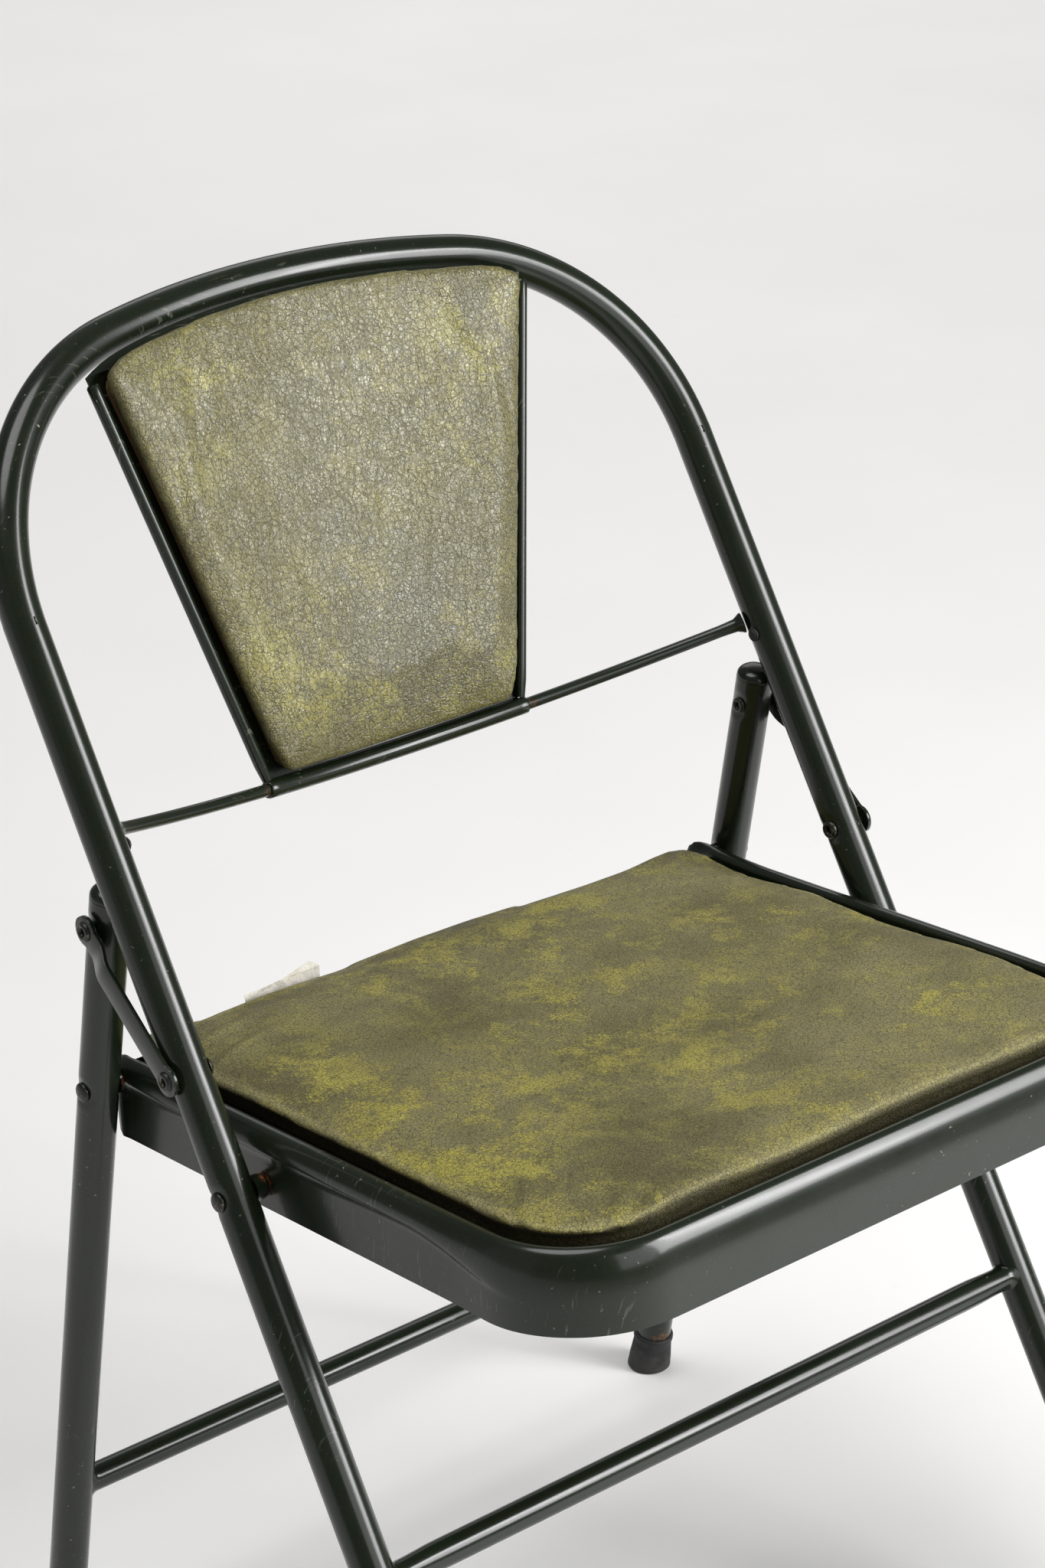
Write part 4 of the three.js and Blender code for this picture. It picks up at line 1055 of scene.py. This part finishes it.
def link(name, side, place, length, body):
    """A flat bar with round eyes and rounded edges, set over towards the rear leg."""
    flat, half, eye = LINK["thick"] / 2, LINK["half"], LINK["eye"]

    def centre_x(z):
        return LINK_INNER - LINK["set"] * smooth(z, length - 26, length - 11) + flat

    def half_width(z):
        ends = [sqrt(max(0.02, eye**2 - (z - centre) ** 2)) for centre in (0, length)]
        in_bar = half if 0 < z < length else 0
        return max(ends[0] if z < eye else 0, ends[1] if z > length - eye else 0, in_bar)

    cap_angles = spread(0, pi, 18)
    low = [-eye * cos(a) for a in cap_angles][:-1]
    middle = spread(eye, length - eye, 40)
    high = [length - eye * cos(a) for a in cap_angles][1:]
    rings = []
    for z in [*low, *middle, *high]:
        wide, x, bevel = half_width(z), centre_x(z), min(0.45, half_width(z) * 0.9)
        rounding = bevel * 0.3
        section = [(flat - bevel, wide), (flat - rounding, wide - rounding), (flat, wide - bevel)]
        section += [(flat, bevel - wide), (flat - rounding, rounding - wide), (flat - bevel, -wide)]
        section += [(-dx, -dy) for dx, dy in section]
        rings.append([Vector((side * (x + dx), dy, z)) for dx, dy in section])
    piece = Shape().loft(rings).piece(name + "_bar", place, 30)
    worn = [((side * LINK_INNER, 0, 0), 16, 0.7), ((side * LINK_INNER, 0, length), 16, 0.6)]
    enamelled(piece, place, body, name, worn=worn)


def foot(name, place, x, end, height, below, radii, body):
    """A rubber tip with a lip, a waist and a flared base, its sole level with the floor."""
    top, waist, base = radii
    rows = place.to_3x3()
    profile = [
        (0, TUBE + 0.25), (0, top - 0.9), (0.02, top - 0.25), (0.05, top), (0.13, top), (0.17, top - 0.7),
        (0.3, waist), (0.5, lerp(waist, base, 0.35)), (0.7, lerp(waist, base, 0.75)), (0.84, base - 0.2),
        (0.9, base), (0.95, base), (0.98, base - 0.5), (1, base - 1.4),
    ]
    rings = []
    for share, radius in profile:
        row = []
        for angle in turns(48):
            across, y = radius * cos(angle), radius * sin(angle)
            floor = -(place.translation.z + rows[2][1] * y) / rows[2][2]
            low = max(floor, end - below) if share < 1 else floor
            row.append(Vector((x + across, y, lerp(end + height, low, share))))
        rings.append(row)
    dress(Shape().loft(rings).piece(name + "_tip", place, 60), RUBBER, "rubber", body, name)


def rear_half(up):
    return REAR_HALF - REAR_TAPER * up


def leg_cap(name, side):
    """Pressed steel plug with a rolled rim in the top of a rear leg."""
    x = side * rear_half(REAR_LEG_TOP)
    profile = [(TUBE - 0.5, -0.6), (TUBE - 0.5, -0.1), (TUBE - 0.1, 0.2), (TUBE, 0.8)]
    profile += [(TUBE * cos(a) ** 0.8, 0.8 + 6 * sin(a)) for a in spread(0.06, pi / 2 - 0.01, 14)]
    shape = Shape().loft(turned(profile, (0, 0, 1), (x, 0, REAR_LEG_TOP)))
    piece = shape.piece(name + "_plug", REAR, 50)
    front = ((0, -11), (8, -8), (-8, -8))
    rust = [((x + dx, dy, REAR_LEG_TOP - 1.5), 6, 0.55) for dx, dy in front]
    enamelled(piece, REAR, "rear_legs", name, rust=rust)


LINK_ON_REAR = REAR.inverted() @ BACK @ Vector((0, LINK_UPPER["rear"], LINK_UPPER["up"]))


def rear_leg(name, side):
    rivets = [0, LINK_ON_REAR.z]
    stations = [(side * rear_half(up), 0, up) for up in heights_round(rivets, REAR_LEG_END, REAR_LEG_TOP)]
    rings = dimpled(swept(stations, TUBE, TUBE_SIDES), rivets, rear_half)
    piece = Shape().loft(rings).piece(name + "_tube", REAR)
    x = side * rear_half(-200)
    rust = [
        ((x, -8, -345), 34, 0.5), ((x, -8, REAR_LEG_TOP), 14, 0.55), ((x, -8, -60), 26, 0.36),
        ((x, -6, REAR_LEG_END + 24), 16, 0.75),
    ]
    worn = [((x, -9, -60), 70, 0.5), ((x, -9, -300), 60, 0.6)]
    enamelled(piece, REAR, "rear_legs", name, rust=rust, worn=worn)


def spacer(name, side, x_from, x_to, place, body):
    """A pressed ring between two hinged sheets."""
    bore = RIVET + 0.3
    profile = [(bore, x_from), (6.6, x_from), (7, x_from + 0.3 * (x_to - x_from)), (7, x_to), (bore, x_to)]
    shape = Shape().loft(turned(profile, (side, 0, 0)), capped=False, joined=True)
    piece = shape.piece(name + "_ring", place, 30)
    enamelled(piece, place, body, name, rust=[((side * x_from, -5, 3), 8, 0.7)])


def screw_head(name, centre, normal, body):
    """A pan-head screw with a slot, standing out of a sheet."""
    axis, centre = Vector(normal).normalized(), Vector(centre)
    across = axis.orthogonal().normalized()
    upward = axis.cross(across)
    profile = [
        (0.45, -3.6), (0.45, -0.1), (1, 0), (1.0, 0.5), (0.93, 1.2), (0.75, 1.7), (0.5, 2.0), (0.25, 2.12),
        (0.02, 2.15),
    ]
    rings = []
    for share, up in profile:
        radius, height = share * 4 * MM, up * MM
        row = []
        for angle in turns(32):
            beside, away = radius * cos(angle), radius * sin(angle)
            slot = abs(away) < 0.55 * MM and height > 1.1 * MM
            point = centre + across * beside + upward * away + axis * height
            row.append(point - axis * (0.9 * MM if slot else 0))
        rings.append(row)
    piece = Shape().loft(rings).piece(name + "_head", Matrix.Identity(4), 40)
    dress(piece, HARDWARE, "hardware", body, name)


# ---- assembly ----
back_frame()
stretcher("front_stretcher", leg_half, FRONT_STRETCHER, BACK, "frame", 0.5)
stretcher("rear_stretcher", rear_half, REAR_STRETCHER, REAR, "rear_legs", 0)
back_crossbar()
back_pan()
back_pad()
seat_pan()
seat_pad()
seat_tag()

link_tilt = Matrix.Rotation(-atan2(LINK_UPPER["rear"], LINK_RISE), 4, "X")
link_place = BACK @ Matrix.Translation((0, 0, LINK_LOWER)) @ link_tilt
link_length = hypot(LINK_UPPER["up"] - LINK_LOWER, LINK_UPPER["rear"])
link_outer = LINK_INNER + LINK["thick"]
upper_outer = link_outer - LINK["set"]
wall = SEAT_HALF - SHEET
stud_x = rear_half(LINK_ON_REAR.z)
small, hollow = domed(HEAD, 2.5), eyelet(HEAD, 2.0, 1.9)
hidden_end, stud_end = [(0.05, 0), (RIVET - 0.2, 0)], [(RIVET, 0.4), (0.05, 0.5)]
for label, side in SIDES.items():
    rivet(f"seat_pivot_rivet_{label}", side, wall - 0.3, leg_half(0) + TUBE - DIMPLE, BACK, "frame",
          small, small)
    spacer(f"seat_pivot_spacer_{label}", side, SEAT_HALF + 0.1, leg_half(0) - TUBE + DIMPLE, BACK, "frame")
    rivet(f"link_lower_rivet_{label}", side, leg_half(LINK_LOWER) - TUBE + DIMPLE, link_outer, BACK, "frame",
          hollow, hollow, (0, LINK_LOWER))
    link(f"link_{label}", side, link_place, link_length, f"link_{label}")
    rivet(f"link_upper_rivet_{label}", side, upper_outer - LINK["thick"] - 0.2, upper_outer, BACK,
          f"link_{label}", hidden_end, hollow, (LINK_UPPER["rear"], LINK_UPPER["up"]))
    foot(f"front_foot_{label}", BACK, side * leg_half(FRONT_LEG_END), FRONT_LEG_END, 22, 26,
         (12.8, 12.5, 13.7), "frame")

    rear_leg(f"rear_leg_{label}", side)
    leg_cap(f"rear_leg_cap_{label}", side)
    foot(f"rear_foot_{label}", REAR, side * rear_half(REAR_LEG_END), REAR_LEG_END, 22, 9,
         (12.8, 12.4, 13.8), "rear_legs")
    rivet(f"rear_pivot_rivet_{label}", side, wall - 2.8, REAR_HALF + TUBE - DIMPLE, REAR, "rear_legs",
          domed(3.5, 2.2), small)
    spacer(f"rear_pivot_washer_{label}", side, SEAT_HALF + 0.1, REAR_HALF - TUBE + DIMPLE, REAR, "rear_legs")
    rivet(f"link_stud_{label}", side, stud_x - TUBE + DIMPLE, stud_x + TUBE - 1, REAR, "rear_legs",
          eyelet(4.6, 1.6, 1.7), stud_end, (LINK_ON_REAR.y, LINK_ON_REAR.z))

for node in ("back_board", "seat_board"):
    cover(frame["nodes"][node], FIBREBOARD)
for label in SIDES:
    stop = frame["nodes"][f"fold_stop_{label}"]
    cover(stop, RUBBER)
for number in range(1, 5):
    for kind, body, place, out in (("back", "frame", BACK, (0, 1, 0)), ("seat", "seat", SEAT, (0, 0, -1))):
        node = f"{kind}_screw_{number}"
        low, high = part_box(node)
        normal = place.to_3x3() @ Vector(out)
        centre = (low + high) / 2 + normal.normalized() * 0.9 * MM
        screw_head(node, centre, normal, body)


# ---- floor and light ----
def floor():
    look = Look("floor")
    shade = look.noise(3, 4)
    body = look.mixed(shade, tone(232, 231, 229), tone(240, 239, 238))
    streak = look.noise(30, 4, 0.6, look.scaled((1, 6, 1), (0, 0, 0.5)))
    body = look.mixed(look.step(streak, 0.66, 0.8, 0, 0.25), body, tone(206, 200, 190))
    look.set(Base_Color=body, Roughness=0.55)
    mesh = bpy.data.meshes.new("floor")
    reach = 14
    corners = [(-reach, -reach, 0), (reach, -reach, 0), (reach, reach, 0), (-reach, reach, 0)]
    mesh.from_pydata(corners, [], [(0, 1, 2, 3)])
    mesh.materials.append(look.material)
    made = added("floor", mesh)


def softbox(name, place, aim, width, height, power):
    light = bpy.data.lights.new(name, "AREA")
    light.shape = "RECTANGLE"
    light.size, light.size_y, light.energy = width, height, power
    made = added(name, light)
    made.location = place
    made.rotation_euler = towards(place, aim)


floor()
world = bpy.data.worlds.new("studio")
world.use_nodes = True
background = world.node_tree.nodes["Background"].inputs
background["Color"].default_value = (1, 0.995, 0.985, 1)
background["Strength"].default_value = 0.15
bpy.context.scene.world = world
sun = bpy.data.lights.new("sky_panel", "SUN")
sun.energy = 1.66
sun.angle = radians(40)
added("sky_panel", sun).rotation_euler = (radians(-6), radians(-14), 0)
KEY_AIM = (0, 0.2, 0.65)
softbox("key", (1.36, -1.93, 1.65), KEY_AIM, 1.25, 1.6, 66)
softbox("front_fill", (0.1, -2.5, 1.5), (0, 0.1, 0.6), 1.5, 1.5, 13)
softbox("left_panel", (-2.4, 0.5, 1.0), (0, 0, 0.5), 2, 2, 1.5)
softbox("key_strip", (1.36, -1.84, 1.7), KEY_AIM, 0.2, 1.3, 12)
softbox("background", (2.8, 3.4, 2.5), (2.8, 3.4, 0), 3, 3, 31)
bpy.context.scene.view_settings.view_transform = "Standard"
